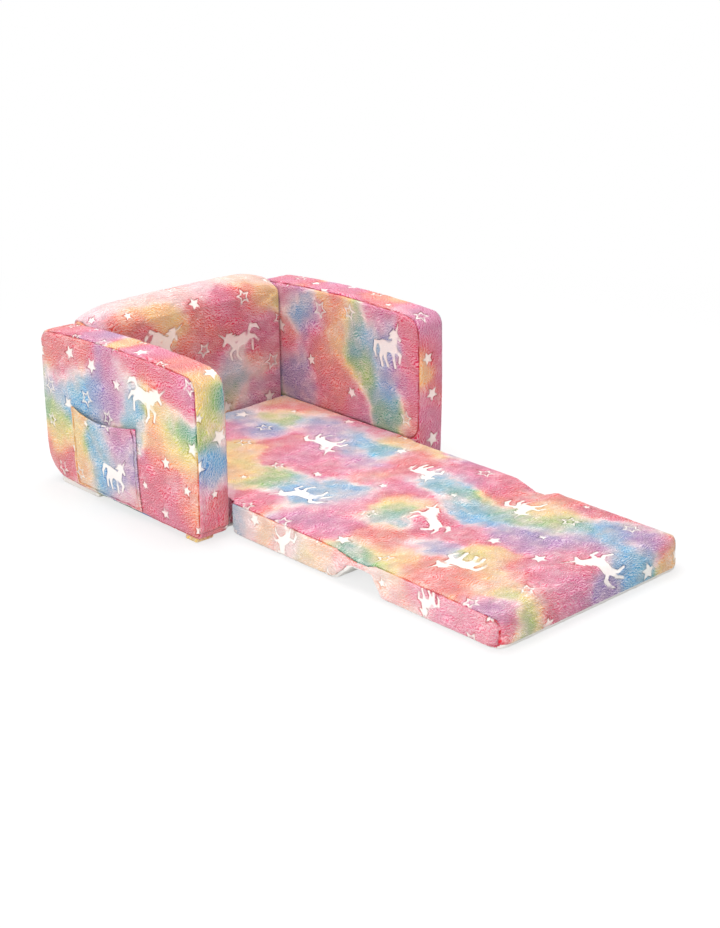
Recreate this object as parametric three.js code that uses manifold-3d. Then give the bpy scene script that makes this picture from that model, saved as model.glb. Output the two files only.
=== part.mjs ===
// Kids' flip open sofa: foam blocks in a plush cover, shown with its folded cushion flipped open.
// Millimetres, +Z up. The sofa faces -Y. The cushion is a Z fold of two sections on fabric hinges:
// the middle section flips over onto the seat while the end section folds back on top of it.
import * as THREE from 'three';
import { mergeVertices } from 'three/addons/utils/BufferGeometryUtils.js';
import Module from 'manifold-3d';

const wasm = await Module();
wasm.setup();

// Whole sofa
const sofaWidth = 650;
const sofaDepth = 500;
const standHeight = 9;

// Cover and clearances
const coverThickness = 3;
const edgeRound = 7;
const coreChamfer = 4;
const leastCornerRadius = 0.5;
const foamGap = 0.4;
const seamGap = 0.3;
const blockGap = 0.4;
const touchGap = 0.3;

// Arms
const armThickness = 75;
const armFrontHeight = 325;
const armRearHeight = 317;
const armTopArch = 11;
const armFrontBow = 2;
const armRearBow = 5;
const armToeRadius = 15;
const armHeelRadius = 66;
const armRearTopRadius = 24;
const armOuterTopRadius = 20;
const armInnerTopRadius = 38;
const armCrown = 5;
const armSwell = 2;

// Back
const backThickness = 75;
const backFrontHeight = 326;
const backRearHeight = 339;
const backCrestHeight = 351;
const backCrestSetback = 47;
const backFrontTopRadius = 18;
const backCrestRadius = 40;
const backRearTopRadius = 16;
const backFootRadius = 8;
const backTopArch = 6;
const backEndDrop = 26;
const backEndRoundLength = 60;
const backFrontCrown = 5;
const backRearCrown = 3;

// Seat
const seatTop = 70;
const seatCrown = 3;
const seatEdgeRadius = 8;
const seatFrontInset = 12;

// Folding sections, with heights above the floor
const sectionSideGap = 2.6;
const sectionSideCrown = 1.6;
const sectionFootRadius = 9;
const creaseEdgeRadius = 3;
const waistEdgeRadius = 2.5;
const middleRearInset = 4;
const middleTop = 68;
const middleCrown = 5;
const middleHeelLength = 36;
const middleHeelRadius = 30;
const endTop = 60;
const endCrown = 4;
const endHeelLength = 24;
const endHeelRadius = 12;
const endFrontTopRadius = 22;
const endFrontBow = 2;
const endCornerDraw = 9;
const endCornerLength = 30;
const openReach = 685;

// Folds: the crease hinge lies just over the tops, and the fold axis just under the waist's notch
const foldReach = 350;
const waistHalfLength = 30;
const waistUnderside = 34;
const waistTop = 57;
const waistSideDraw = 5;
const waistArch = 4;
const waistDip = 2;
const waistEdgeRound = 1;
const creaseWebDepth = 12;
const creaseWebDip = 1;

// Pocket on the left arm
const pocketFront = 175;
const pocketWidth = 217;
const pocketFoot = 17;
const pocketRearTop = 184;
const pocketFrontTop = 190;
const pocketMouthSag = 13;
const pocketSlack = 7;
const pocketRimWidth = 16;
const pocketSheetThickness = 2.5;
const pocketHemHeight = 18;
const pocketHemExtra = 1;

// Feet
const frontFootWidth = 58;
const frontFootLength = 46;
const frontFootRound = 3.5;
const frontFootCrown = 1;
const frontFootToe = 3;
const footSideInset = 4;
const rearFootStart = 333;
const rearFootLength = 128;
const rearFootWidth = 54;

// Zip across the foot of the back's rear panel
const zipEndInset = 35;
const zipHeight = 44;
const zipTapeWidth = 26;
const zipTapeThickness = 1.2;
const zipChainWidth = 5;
const zipChainThickness = 1.6;
const zipEndMargin = 6;
const zipSliderLength = 12;
const zipSliderWidth = 9;
const zipSliderWall = 1.2;
const zipRunGap = 0.3;

// Places that follow from the sizes above
const innerHalfWidth = sofaWidth / 2 - armThickness;
const blockHalfWidth = innerHalfWidth - blockGap;
const sectionHalfWidth = innerHalfWidth - sectionSideGap - sectionSideCrown;
const backFront = sofaDepth - backThickness;
const seatRear = backFront - backFrontCrown - blockGap;
const waistStartY = -foldReach + waistHalfLength;
const waistEndY = -foldReach - waistHalfLength;

// Mesh density: points round a corner and rings on a face, finer on the covers than on the foam
const fineArcSteps = 3;
const coarseArcSteps = 1;
const faceShares = [0.5, 0.82];
const slimShares = [0.5];
const wideShares = [0.03, 0.1, 0.3, 0.5, 0.7, 0.9, 0.97];

const { lerp, smoothstep, clamp } = THREE.MathUtils;
const hump = (share) => 4 * share * (1 - share);

/**
 * Points with outward normals round an outline in Y and Z, from corners listed anticlockwise.
 * bow swells the edge after a corner, and run is the count of points along that edge.
 */
function roundedOutline(corners, fine, leastRadius) {
  const arcSteps = fine ? fineArcSteps : coarseArcSteps;
  const arcs = corners.map((corner, index) => {
    const before = corners.at(index - 1);
    const after = corners[(index + 1) % corners.length];
    const radius = Math.max(corner.radius, leastRadius);
    const along = new THREE.Vector2(corner.y - before.y, corner.z - before.z).normalize();
    const onward = new THREE.Vector2(after.y - corner.y, after.z - corner.z).normalize();
    const turn = Math.acos(clamp(along.dot(onward), -1, 1));
    const centre = new THREE.Vector2(corner.y, corner.z);
    centre.addScaledVector(along, -radius * Math.tan(turn / 2));
    centre.addScaledVector(new THREE.Vector2(-along.y, along.x), radius);
    const startAngle = Math.atan2(-along.x, along.y);
    return Array.from({ length: arcSteps + 1 }, (_, step) => {
      const angle = startAngle + (turn * step) / arcSteps;
      const normal = new THREE.Vector2(Math.cos(angle), Math.sin(angle));
      return { place: centre.clone().addScaledVector(normal, radius), normal };
    });
  });
  return arcs.flatMap((arc, index) => {
    const from = arc.at(-1);
    const to = arcs[(index + 1) % arcs.length][0];
    const { bow = 0, run = 1 } = corners[index];
    const bowed = Array.from({ length: run }, (_, step) => {
      const share = (step + 1) / (run + 1);
      const place = from.place.clone().lerp(to.place, share);
      return { place: place.addScaledVector(from.normal, bow * hump(share)), normal: from.normal };
    });
    return [...arc, ...bowed];
  });
}

/** Builds a closed geometry and turns every face outward. */
function facingOut(points, index) {
  let volume = 0;
  for (let k = 0; k < index.length; k += 3) {
    const [a, b, c] = [points[index[k]], points[index[k + 1]], points[index[k + 2]]];
    volume += a.dot(b.clone().cross(c));
  }
  const geometry = new THREE.BufferGeometry();
  const positions = points.flatMap((point) => point.toArray());
  geometry.setAttribute('position', new THREE.Float32BufferAttribute(positions, 3));
  geometry.setIndex(volume < 0 ? index.toReversed() : index);
  return geometry;
}

/** A closed solid through rings of equal count, shut by a fan to a point at each end. */
function closedLoft(start, rings, end) {
  const count = rings[0].length;
  const points = [start, ...rings.flat(), end];
  const last = points.length - 1;
  const index = [];
  for (let k = 0; k < count; k += 1) {
    const next = (k + 1) % count;
    index.push(0, 1 + next, 1 + k);
    for (let ring = 0; ring < rings.length - 1; ring += 1) {
      const low = 1 + ring * count;
      const high = low + count;
      index.push(low + k, low + next, high + next);
      index.push(low + k, high + next, high + k);
    }
    index.push(last, last - count + k, last - count + next);
  }
  return facingOut(points, index);
}

/**
 * A stuffed block, lofted along X between two rounded side faces. outlineAt gives its corners in Y
 * and Z at a share of its width, crowns are the rises of the two side faces, and inset says how far
 * the solid lies inside the block's own surface.
 */
function stuffedBlock({ outlineAt, lowX, highX, crowns, midShares, round = edgeRound, inset = 0, fine = true }) {
  const softness = fine ? round : coreChamfer;
  const knee = softness * (1 - Math.SQRT1_2);
  const span = highX - lowX - 2 * inset;
  const flatRing = (level, pull) => {
    const across = clamp((level + inset) / (highX - lowX), 0, 1);
    const outline = roundedOutline(outlineAt(across), fine, pull + inset + leastCornerRadius);
    return outline.map(({ place, normal }) => place.clone().addScaledVector(normal, -pull - inset));
  };
  const middleOf = (ring) => new THREE.Box2().setFromPoints(ring).getCenter(new THREE.Vector2());
  const toSpace = (point, level) => new THREE.Vector3(lowX + inset + level, point.x, point.y);
  const ringAt = (level, pull) => flatRing(level, pull).map((point) => toSpace(point, level));
  const faceRing = (level, rise, share) => {
    const ring = flatRing(level, softness);
    const middle = middleOf(ring);
    const risen = level + rise * (1 - share ** 2);
    return ring.map((point) => toSpace(middle.clone().lerp(point, share), risen));
  };
  const faceCentre = (level, rise) => toSpace(middleOf(flatRing(level, softness)), level + rise);
  const [lowRise, highRise] = fine ? [-crowns[0], crowns[1]] : [0, 0];
  const shares = fine ? faceShares : [];
  const rings = [
    ...shares.map((share) => faceRing(0, lowRise, share)),
    ringAt(0, softness),
    ringAt(knee, knee),
    ringAt(softness, 0),
    ...midShares.map((share) => ringAt(span * share, 0)),
    ringAt(span - softness, 0),
    ringAt(span - knee, knee),
    ringAt(span, softness),
    ...shares.toReversed().map((share) => faceRing(span, highRise, share)),
  ];
  return closedLoft(faceCentre(0, lowRise), rings, faceCentre(span, highRise));
}

/** A thin closed sheet between two surfaces, each given by shares along and up. */
function closedSheet(columns, rows, outerAt, innerAt) {
  const surfaces = [outerAt, innerAt].map((surface) => {
    const points = [];
    for (let row = 0; row <= rows; row += 1) {
      for (let column = 0; column <= columns; column += 1) {
        points.push(surface(column / columns, row / rows));
      }
    }
    return points;
  });
  const behind = surfaces[0].length;
  const at = (column, row) => row * (columns + 1) + column;
  const index = [];
  const quad = (a, b, c, d) => index.push(a, b, c, a, c, d);
  const rim = (a, b) => quad(b, a, behind + a, behind + b);
  for (let row = 0; row < rows; row += 1) {
    for (let column = 0; column < columns; column += 1) {
      const [a, b] = [at(column, row), at(column + 1, row)];
      const [c, d] = [at(column + 1, row + 1), at(column, row + 1)];
      quad(a, b, c, d);
      quad(behind + a, behind + d, behind + c, behind + b);
    }
    rim(at(0, row + 1), at(0, row));
    rim(at(columns, row), at(columns, row + 1));
  }
  for (let column = 0; column < columns; column += 1) {
    rim(at(column, 0), at(column + 1, 0));
    rim(at(column + 1, rows), at(column, rows));
  }
  return facingOut(surfaces.flat(), index);
}

function toSolid(geometry) {
  const bare = geometry.clone();
  bare.deleteAttribute('normal');
  bare.deleteAttribute('uv');
  const welded = mergeVertices(bare);
  return new wasm.Manifold(new wasm.Mesh({
    numProp: 3,
    vertProperties: new Float32Array(welded.attributes.position.array),
    triVerts: new Uint32Array(welded.index.array),
  }));
}

function toGeometry(solid) {
  const mesh = solid.getMesh();
  const geometry = new THREE.BufferGeometry();
  geometry.setAttribute('position', new THREE.BufferAttribute(mesh.vertProperties, 3));
  geometry.setIndex(new THREE.BufferAttribute(mesh.triVerts, 1));
  return geometry;
}

/** A box as a solid, from its low and high corners. */
function boxSolid(low, high) {
  const size = high.clone().sub(low);
  const geometry = new THREE.BoxGeometry(size.x, size.y, size.z);
  geometry.translate(...low.clone().lerp(high, 1 / 2).toArray());
  return toSolid(geometry);
}

/** Parts a solid at a level on one axis and leaves the seam's gap there. */
function parted(solid, axis, level) {
  const reach = 2 * (sofaWidth + sofaDepth + openReach);
  const low = new THREE.Vector3(-reach, -reach, -reach);
  const high = new THREE.Vector3(reach, reach, reach);
  const lowEnd = high.clone();
  const highStart = low.clone();
  lowEnd[axis] = level - seamGap / 2;
  highStart[axis] = level + seamGap / 2;
  return {
    low: solid.intersect(boxSolid(low, lowEnd)),
    high: solid.intersect(boxSolid(highStart, high)),
  };
}

/** A block grown by the touching gap, to trim what lies against it. */
function keepOut(block) {
  return toSolid(stuffedBlock({ ...block, inset: -touchGap }));
}

/** Foam core of a block, and its cover: a wrap all round and a panel on each side face. */
function sewnBlock(block) {
  const outside = toSolid(stuffedBlock(block));
  const hollow = toSolid(stuffedBlock({ ...block, inset: coverThickness, fine: false }));
  const core = stuffedBlock({ ...block, inset: coverThickness + foamGap, fine: false });
  const lowParts = parted(outside.subtract(hollow), 'x', block.lowX + edgeRound / 2);
  const highParts = parted(lowParts.high, 'x', block.highX - edgeRound / 2);
  return { core, lowSide: lowParts.low, wrap: highParts.low, highSide: highParts.high };
}

/** Turns a shape drawn in Y and Z and extruded along X into a solid, from one X to another. */
function extrudedSolid(outline, fromX, toX) {
  const geometry = new THREE.ExtrudeGeometry(outline, { depth: toX - fromX, bevelEnabled: false });
  geometry.translate(0, 0, fromX);
  const [x, y, z] = [new THREE.Vector3(1, 0, 0), new THREE.Vector3(0, 1, 0), new THREE.Vector3(0, 0, 1)];
  geometry.applyMatrix4(new THREE.Matrix4().makeBasis(y, z, x));
  return toSolid(geometry);
}

const plushPink = new THREE.MeshStandardMaterial({ color: 0xe88aa8, roughness: 0.95 });
const plushCoral = new THREE.MeshStandardMaterial({ color: 0xf2a48c, roughness: 0.95 });
const plushBlue = new THREE.MeshStandardMaterial({ color: 0x9cc8dd, roughness: 0.95 });
const plushLilac = new THREE.MeshStandardMaterial({ color: 0xc0a8d2, roughness: 0.95 });
const plushYellow = new THREE.MeshStandardMaterial({ color: 0xf3cf8c, roughness: 0.95 });
const baseCloth = new THREE.MeshStandardMaterial({ color: 0xefedea, roughness: 0.8 });
const foam = new THREE.MeshStandardMaterial({ color: 0xf5f0dc, roughness: 0.9 });
const zipNylon = new THREE.MeshStandardMaterial({ color: 0xd98ca6, roughness: 0.6 });
const zipMetal = new THREE.MeshStandardMaterial({ color: 0xc8c8cc, roughness: 0.35, metalness: 0.9 });

const sofa = new THREE.Group();

function addMesh(parent, name, shape, material) {
  const geometry = shape instanceof THREE.BufferGeometry ? shape : toGeometry(shape);
  const mesh = new THREE.Mesh(geometry, material);
  mesh.name = name;
  parent.add(mesh);
}

/** An arm's side outline. Its top front corner grows rounder from the outer face to the inner one. */
function armOutline(inwardShare) {
  const swell = armSwell * hump(inwardShare);
  const topFrontRadius = lerp(armOuterTopRadius, armInnerTopRadius, inwardShare);
  return [
    { y: -swell, z: standHeight, radius: armToeRadius },
    { y: sofaDepth + swell, z: standHeight, radius: armHeelRadius, bow: armRearBow, run: 3 },
    { y: sofaDepth + swell, z: armRearHeight + swell, radius: armRearTopRadius, bow: armTopArch, run: 5 },
    { y: -swell, z: armFrontHeight + swell, radius: topFrontRadius, bow: armFrontBow },
  ];
}

/** side is -1 for the left arm, seen from the front, and 1 for the right arm. */
function armBlock(side) {
  const isLeft = side < 0;
  return {
    outlineAt: (across) => armOutline(isLeft ? across : 1 - across),
    lowX: isLeft ? -sofaWidth / 2 : innerHalfWidth,
    highX: isLeft ? -innerHalfWidth : sofaWidth / 2,
    crowns: isLeft ? [armCrown, 0] : [0, armCrown],
    midShares: slimShares,
  };
}

function addArm(side, name) {
  const group = new THREE.Group();
  const { core, lowSide, wrap, highSide } = sewnBlock(armBlock(side));
  const [outerPanel, innerPanel] = side < 0 ? [lowSide, highSide] : [highSide, lowSide];
  addMesh(group, `${name}_arm_foam`, core, foam);
  addMesh(group, `${name}_arm_outer_panel`, outerPanel, plushPink);
  addMesh(group, `${name}_arm_inner_panel`, innerPanel, plushCoral);
  addMesh(group, `${name}_arm_boxing`, wrap, plushLilac);
  sofa.add(group);
}

/** How near a place lies to either side of a block, from 0 inside a length to 1 at the side. */
function sideNearness(across, width, length) {
  const distance = Math.min(across, 1 - across) * width;
  return (1 - clamp(distance / length, 0, 1)) ** 2;
}

/** The back's outline climbs from the front edge to a crest, and its ends slope to the arms. */
function backOutline(across) {
  const drop = backEndDrop * sideNearness(across, 2 * blockHalfWidth, backEndRoundLength);
  const arch = backTopArch * hump(across);
  const crown = hump(across) ** (1 / 2);
  const top = arch - drop;
  return [
    { y: backFront, z: standHeight, radius: backFootRadius },
    { y: sofaDepth, z: standHeight, radius: backFootRadius, bow: backRearCrown * crown, run: 3 },
    { y: sofaDepth, z: backRearHeight + top, radius: backRearTopRadius },
    { y: sofaDepth - backThickness + backCrestSetback, z: backCrestHeight + top, radius: backCrestRadius },
    { y: backFront, z: backFrontHeight + top, radius: backFrontTopRadius, bow: backFrontCrown * crown, run: 3 },
  ];
}

const backBlock = {
  outlineAt: backOutline,
  lowX: -blockHalfWidth,
  highX: blockHalfWidth,
  crowns: [0, 0],
  midShares: wideShares,
};

function addBack() {
  const group = new THREE.Group();
  const { core, lowSide, wrap, highSide } = sewnBlock(backBlock);
  const panels = parted(wrap, 'y', sofaDepth - edgeRound / 2);
  addMesh(group, 'back_foam', core, foam);
  addMesh(group, 'back_front_panel', panels.low, plushCoral);
  addMesh(group, 'back_rear_panel', panels.high, plushPink);
  addMesh(group, 'back_left_gusset', lowSide, plushYellow);
  addMesh(group, 'back_right_gusset', highSide, plushYellow);
  sofa.add(group);
}

function seatOutline(across) {
  const bow = seatCrown * hump(across) ** (1 / 2);
  return [
    { y: seatFrontInset, z: standHeight, radius: seatEdgeRadius },
    { y: seatRear, z: standHeight, radius: seatEdgeRadius },
    { y: seatRear, z: seatTop, radius: seatEdgeRadius, bow, run: 3 },
    { y: seatFrontInset, z: seatTop, radius: creaseEdgeRadius },
  ];
}

const seatBlock = {
  outlineAt: seatOutline,
  lowX: -blockHalfWidth,
  highX: blockHalfWidth,
  crowns: [0, 0],
  midShares: wideShares,
};

/** The middle section's outline ends at the fold in a heel that slants up to the waist. */
function middleOutline(across) {
  const bow = middleCrown * hump(across) ** (1 / 2);
  return [
    { y: waistStartY + middleHeelLength, z: 0, radius: middleHeelRadius },
    { y: middleRearInset, z: 0, radius: sectionFootRadius },
    { y: middleRearInset, z: middleTop, radius: creaseEdgeRadius, bow, run: 5 },
    { y: waistStartY, z: waistTop, radius: waistEdgeRadius },
    { y: waistStartY, z: waistUnderside, radius: waistEdgeRadius },
  ];
}

/** The end section's outline has a steep heel at the fold and a well rounded front top edge. */
function endOutline(across) {
  const bow = endCrown * hump(across) ** (1 / 2);
  const frontY = -openReach + endCornerDraw * sideNearness(across, 2 * sectionHalfWidth, endCornerLength);
  return [
    { y: frontY, z: 0, radius: sectionFootRadius },
    { y: waistEndY - endHeelLength, z: 0, radius: endHeelRadius },
    { y: waistEndY, z: waistUnderside, radius: waistEdgeRadius },
    { y: waistEndY, z: waistTop, radius: waistEdgeRadius, bow, run: 5 },
    { y: frontY, z: endTop, radius: endFrontTopRadius, bow: endFrontBow },
  ];
}

function sectionBlock(outlineAt) {
  return {
    outlineAt,
    lowX: -sectionHalfWidth,
    highX: sectionHalfWidth,
    crowns: [sectionSideCrown, sectionSideCrown],
    midShares: wideShares,
  };
}

/** Adds a flat cushion: plush over its top and ends, a gusset on each side and cloth underneath. */
function addCushion(name, block, floorHeight, topMaterial, sideMaterial) {
  const group = new THREE.Group();
  const { core, lowSide, wrap, highSide } = sewnBlock(block);
  const panels = parted(wrap, 'z', floorHeight + edgeRound);
  addMesh(group, `${name}_foam`, core, foam);
  addMesh(group, `${name}_top_panel`, panels.high, topMaterial);
  addMesh(group, `${name}_base_cloth`, panels.low, baseCloth);
  addMesh(group, `${name}_left_gusset`, lowSide, sideMaterial);
  addMesh(group, `${name}_right_gusset`, highSide, sideMaterial);
  sofa.add(group);
}

/** Plush drawn together between the two sections, thin enough to fold double. */
function addFoldWaist() {
  const [frontY, rearY] = [waistEndY + touchGap, waistStartY - touchGap];
  const outline = [
    { y: frontY, z: waistUnderside, radius: waistEdgeRadius, bow: -waistArch, run: 3 },
    { y: rearY, z: waistUnderside, radius: waistEdgeRadius },
    { y: rearY, z: waistTop, radius: waistEdgeRadius, bow: -waistDip, run: 3 },
    { y: frontY, z: waistTop, radius: waistEdgeRadius },
  ];
  const waist = stuffedBlock({
    outlineAt: () => outline,
    lowX: -sectionHalfWidth + waistSideDraw,
    highX: sectionHalfWidth - waistSideDraw,
    crowns: [0, 0],
    midShares: slimShares,
    round: waistEdgeRound,
  });
  addMesh(sofa, 'fold_waist', waist, plushYellow);
}

/** Plush that runs on over the crease between the seat and the middle section, level with their tops. */
function addCreaseWeb() {
  const top = Math.min(seatTop, middleTop) - creaseWebDip;
  const halfWidth = sectionHalfWidth - edgeRound;
  const low = new THREE.Vector3(-halfWidth, middleRearInset - creaseEdgeRadius, top - creaseWebDepth);
  const high = new THREE.Vector3(halfWidth, seatFrontInset + creaseEdgeRadius, top);
  const web = boxSolid(low, high).subtract(keepOut(seatBlock)).subtract(keepOut(sectionBlock(middleOutline)));
  addMesh(sofa, 'front_hinge_web', web, plushBlue);
}

/** A stretch of the pocket, from one share of its height to another. */
function pocketStretch(fromShare, toShare, thickness) {
  const lift = pocketSlack + armCrown;
  const columns = 12;
  const rows = 5;
  const surface = (extra) => (along, up) => {
    const y = lerp(pocketFront, pocketFront + pocketWidth, along);
    const mouth = lerp(pocketFrontTop, pocketRearTop, along) - pocketMouthSag * hump(along);
    const rise = lerp(fromShare, toShare, up);
    const z = lerp(pocketFoot, mouth, rise);
    const fromEdge = Math.min(along, 1 - along) * pocketWidth;
    const fromFoot = rise * (mouth - pocketFoot);
    const open = smoothstep(fromEdge, 0, pocketRimWidth) * smoothstep(fromFoot, 0, pocketRimWidth);
    return new THREE.Vector3(-(sofaWidth / 2 + lift * open + extra), y, z);
  };
  const sheet = closedSheet(columns, rows, surface(thickness), surface(0));
  return toSolid(sheet).subtract(keepOut(armBlock(-1)));
}

function addPocket() {
  const group = new THREE.Group();
  const height = pocketRearTop - pocketFoot;
  const hemShare = 1 - pocketHemHeight / height;
  const gapShare = seamGap / height;
  const hemThickness = pocketSheetThickness + pocketHemExtra;
  addMesh(group, 'pocket_panel', pocketStretch(0, hemShare - gapShare, pocketSheetThickness), plushBlue);
  addMesh(group, 'pocket_hem', pocketStretch(hemShare, 1, hemThickness), plushLilac);
  sofa.add(group);
}

/** Puffed plush pad under the toe of an arm. */
function frontFoot(side) {
  const outerX = sofaWidth / 2 - footSideInset - frontFootCrown;
  const innerX = outerX - frontFootWidth;
  const top = standHeight - touchGap;
  const heelY = frontFootToe + frontFootLength;
  const outline = [
    { y: frontFootToe, z: 0, radius: frontFootRound },
    { y: heelY, z: 0, radius: frontFootRound },
    { y: heelY, z: top, radius: frontFootRound },
    { y: frontFootToe, z: top, radius: frontFootRound },
  ];
  return stuffedBlock({
    outlineAt: () => outline,
    lowX: side < 0 ? -outerX : innerX,
    highX: side < 0 ? -innerX : outerX,
    crowns: [frontFootCrown, frontFootCrown],
    midShares: [],
    round: frontFootRound,
  });
}

/** Pale strip under the heel of an arm, hollowed on top to seat the heel's curve. */
function rearFoot(side) {
  const end = rearFootStart + rearFootLength;
  const outline = new THREE.Shape();
  outline.moveTo(rearFootStart, 0);
  outline.lineTo(end, 0);
  outline.lineTo(end, standHeight + armHeelRadius / 2);
  outline.lineTo(rearFootStart, standHeight + armHeelRadius / 2);
  const outerX = sofaWidth / 2 - footSideInset;
  const innerX = outerX - rearFootWidth;
  const [fromX, toX] = side < 0 ? [-outerX, -innerX] : [innerX, outerX];
  const trimmed = extrudedSolid(outline, fromX, toX).subtract(keepOut(armBlock(side)));
  const belowArm = (piece) => piece.boundingBox().min[2] < touchGap;
  return trimmed.decompose().find(belowArm);
}

function addFeet() {
  const group = new THREE.Group();
  for (const [side, name] of [[-1, 'left'], [1, 'right']]) {
    addMesh(group, `${name}_front_foot`, frontFoot(side), plushYellow);
    addMesh(group, `${name}_rear_foot_strip`, rearFoot(side), baseCloth);
  }
  sofa.add(group);
}

/** Zip for taking the foam out: tape sewn to the rear panel, tooth chain, and slider without a pull. */
function addZip() {
  const group = new THREE.Group();
  const halfLength = innerHalfWidth - zipEndInset;
  const tapeTopShare = (zipHeight + zipTapeWidth / 2 - standHeight) / (backRearHeight - standHeight);
  const tapeFace = sofaDepth + backRearCrown * hump(tapeTopShare) + touchGap + zipTapeThickness;
  const tapeLow = new THREE.Vector3(-halfLength, sofaDepth - edgeRound, zipHeight - zipTapeWidth / 2);
  const tapeHigh = new THREE.Vector3(halfLength, tapeFace, zipHeight + zipTapeWidth / 2);
  const chainEnd = halfLength - zipEndMargin;
  const chainFace = tapeFace + zipRunGap + zipChainThickness;
  const chainLow = new THREE.Vector3(-chainEnd, tapeFace + zipRunGap, zipHeight - zipChainWidth / 2);
  const chainHigh = new THREE.Vector3(chainEnd, chainFace, zipHeight + zipChainWidth / 2);
  const sliderFace = chainFace + zipRunGap + zipSliderWall;
  const sliderLow = new THREE.Vector3(-chainEnd, chainLow.y, zipHeight - zipSliderWidth / 2);
  const sliderHigh = new THREE.Vector3(zipSliderLength - chainEnd, sliderFace, zipHeight + zipSliderWidth / 2);
  const channelLow = chainLow.clone().subScalar(zipRunGap);
  const channelHigh = chainHigh.clone().addScalar(zipRunGap);
  const slider = boxSolid(sliderLow, sliderHigh).subtract(boxSolid(channelLow, channelHigh));
  addMesh(group, 'back_zip_tape', boxSolid(tapeLow, tapeHigh).subtract(keepOut(backBlock)), zipNylon);
  addMesh(group, 'back_zip_chain', boxSolid(chainLow, chainHigh), zipNylon);
  addMesh(group, 'back_zip_slider', slider, zipMetal);
  sofa.add(group);
}

addArm(-1, 'left');
addArm(1, 'right');
addBack();
addCushion('seat', seatBlock, standHeight, plushBlue, plushLilac);
addCushion('middle', sectionBlock(middleOutline), 0, plushPink, plushYellow);
addCushion('end', sectionBlock(endOutline), 0, plushCoral, plushPink);
addFoldWaist();
addCreaseWeb();
addPocket();
addFeet();
addZip();

// The origin is under the middle of the open sofa's box, on the floor
const box = new THREE.Box3().setFromObject(sofa, true);
const boxCentre = box.getCenter(new THREE.Vector3());
sofa.position.set(-boxCentre.x, -boxCentre.y, 0);
sofa.updateMatrixWorld(true);

export default sofa;
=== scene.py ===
"""Looks of a kids' flip open sofa in tie-dyed plush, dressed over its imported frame.

Every padded block starts as a bevelled profile, is blown up inside its sewn seams by a short cloth
simulation, and is then dyed, printed and brushed in the coordinates of its own cut panels. Metres.
"""
import logging
import math
from dataclasses import dataclass, field
from enum import Enum
from typing import Callable, Iterable, NamedTuple, Sequence

import bmesh
import bpy
import numpy as np
from mathutils import Matrix, Vector
from mathutils.bvhtree import BVHTree


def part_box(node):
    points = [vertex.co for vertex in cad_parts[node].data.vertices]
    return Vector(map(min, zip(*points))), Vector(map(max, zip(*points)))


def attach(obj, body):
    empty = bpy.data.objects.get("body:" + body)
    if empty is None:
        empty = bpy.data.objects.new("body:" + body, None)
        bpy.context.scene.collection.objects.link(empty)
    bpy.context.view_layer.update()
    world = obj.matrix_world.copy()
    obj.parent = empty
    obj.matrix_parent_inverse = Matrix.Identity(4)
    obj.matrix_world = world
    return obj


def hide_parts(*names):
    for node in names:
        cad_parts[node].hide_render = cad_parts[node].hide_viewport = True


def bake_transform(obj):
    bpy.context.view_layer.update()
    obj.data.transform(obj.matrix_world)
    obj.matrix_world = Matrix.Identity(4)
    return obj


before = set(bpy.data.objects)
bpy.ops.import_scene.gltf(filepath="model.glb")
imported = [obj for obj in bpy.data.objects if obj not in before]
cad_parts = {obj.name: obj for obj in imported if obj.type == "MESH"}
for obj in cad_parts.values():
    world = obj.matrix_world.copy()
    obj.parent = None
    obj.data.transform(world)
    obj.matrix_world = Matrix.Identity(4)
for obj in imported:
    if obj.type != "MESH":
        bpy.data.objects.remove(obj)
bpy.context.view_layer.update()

LOG = logging.getLogger("sofa")
MM = 0.001

Array = np.ndarray
Colour = tuple[float, float, float]
Form = bmesh.types.BMesh
Mesh = bpy.types.Mesh
Piece = bpy.types.Object


class Dye(Enum):
    """Dyes of the plush, each at its angle on the dye wheel, in degrees."""

    ROSE = 0
    CORAL = 24
    PEACH = 42
    YELLOW = 66
    GREEN = 112
    TEAL = 152
    SKY = 192
    PERIWINKLE = 236
    LAVENDER = 286
    PINK = 334


# The dye wheel's stops, as display colours
WHEEL = {
    0: (0.91, 0.33, 0.48),
    24: (0.95, 0.49, 0.43),
    42: (0.98, 0.72, 0.50),
    66: (0.99, 0.85, 0.55),
    88: (0.90, 0.86, 0.50),
    112: (0.66, 0.79, 0.46),
    152: (0.38, 0.70, 0.68),
    192: (0.42, 0.75, 0.90),
    236: (0.54, 0.64, 0.83),
    286: (0.74, 0.53, 0.75),
    334: (0.91, 0.44, 0.63),
    360: (0.91, 0.33, 0.48),
}
BARE_CLOTH = (0.98, 0.88, 0.87)


def linear(colour: Sequence[float] | Array) -> Array:
    """Turns display colours into linear ones."""
    values = np.asarray(colour, float)
    return np.where(values <= 0.04045, values / 12.92, ((values + 0.055) / 1.055) ** 2.4)


def smooth_share(values: Array, start: float, end: float) -> Array:
    """Smooth step from 0 at start to 1 at end."""
    share = np.clip((values - start) / (end - start), 0, 1)
    return share * share * (3 - 2 * share)


def hump(share: Array | float) -> Array | float:
    """A rise of 1 in the middle that is 0 at both ends."""
    return 4 * share * (1 - share)


def bell(values: Array, width: float) -> Array:
    """A rise of 1 at 0 that falls away over a width."""
    return np.exp(-((values / width) ** 2))


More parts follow.
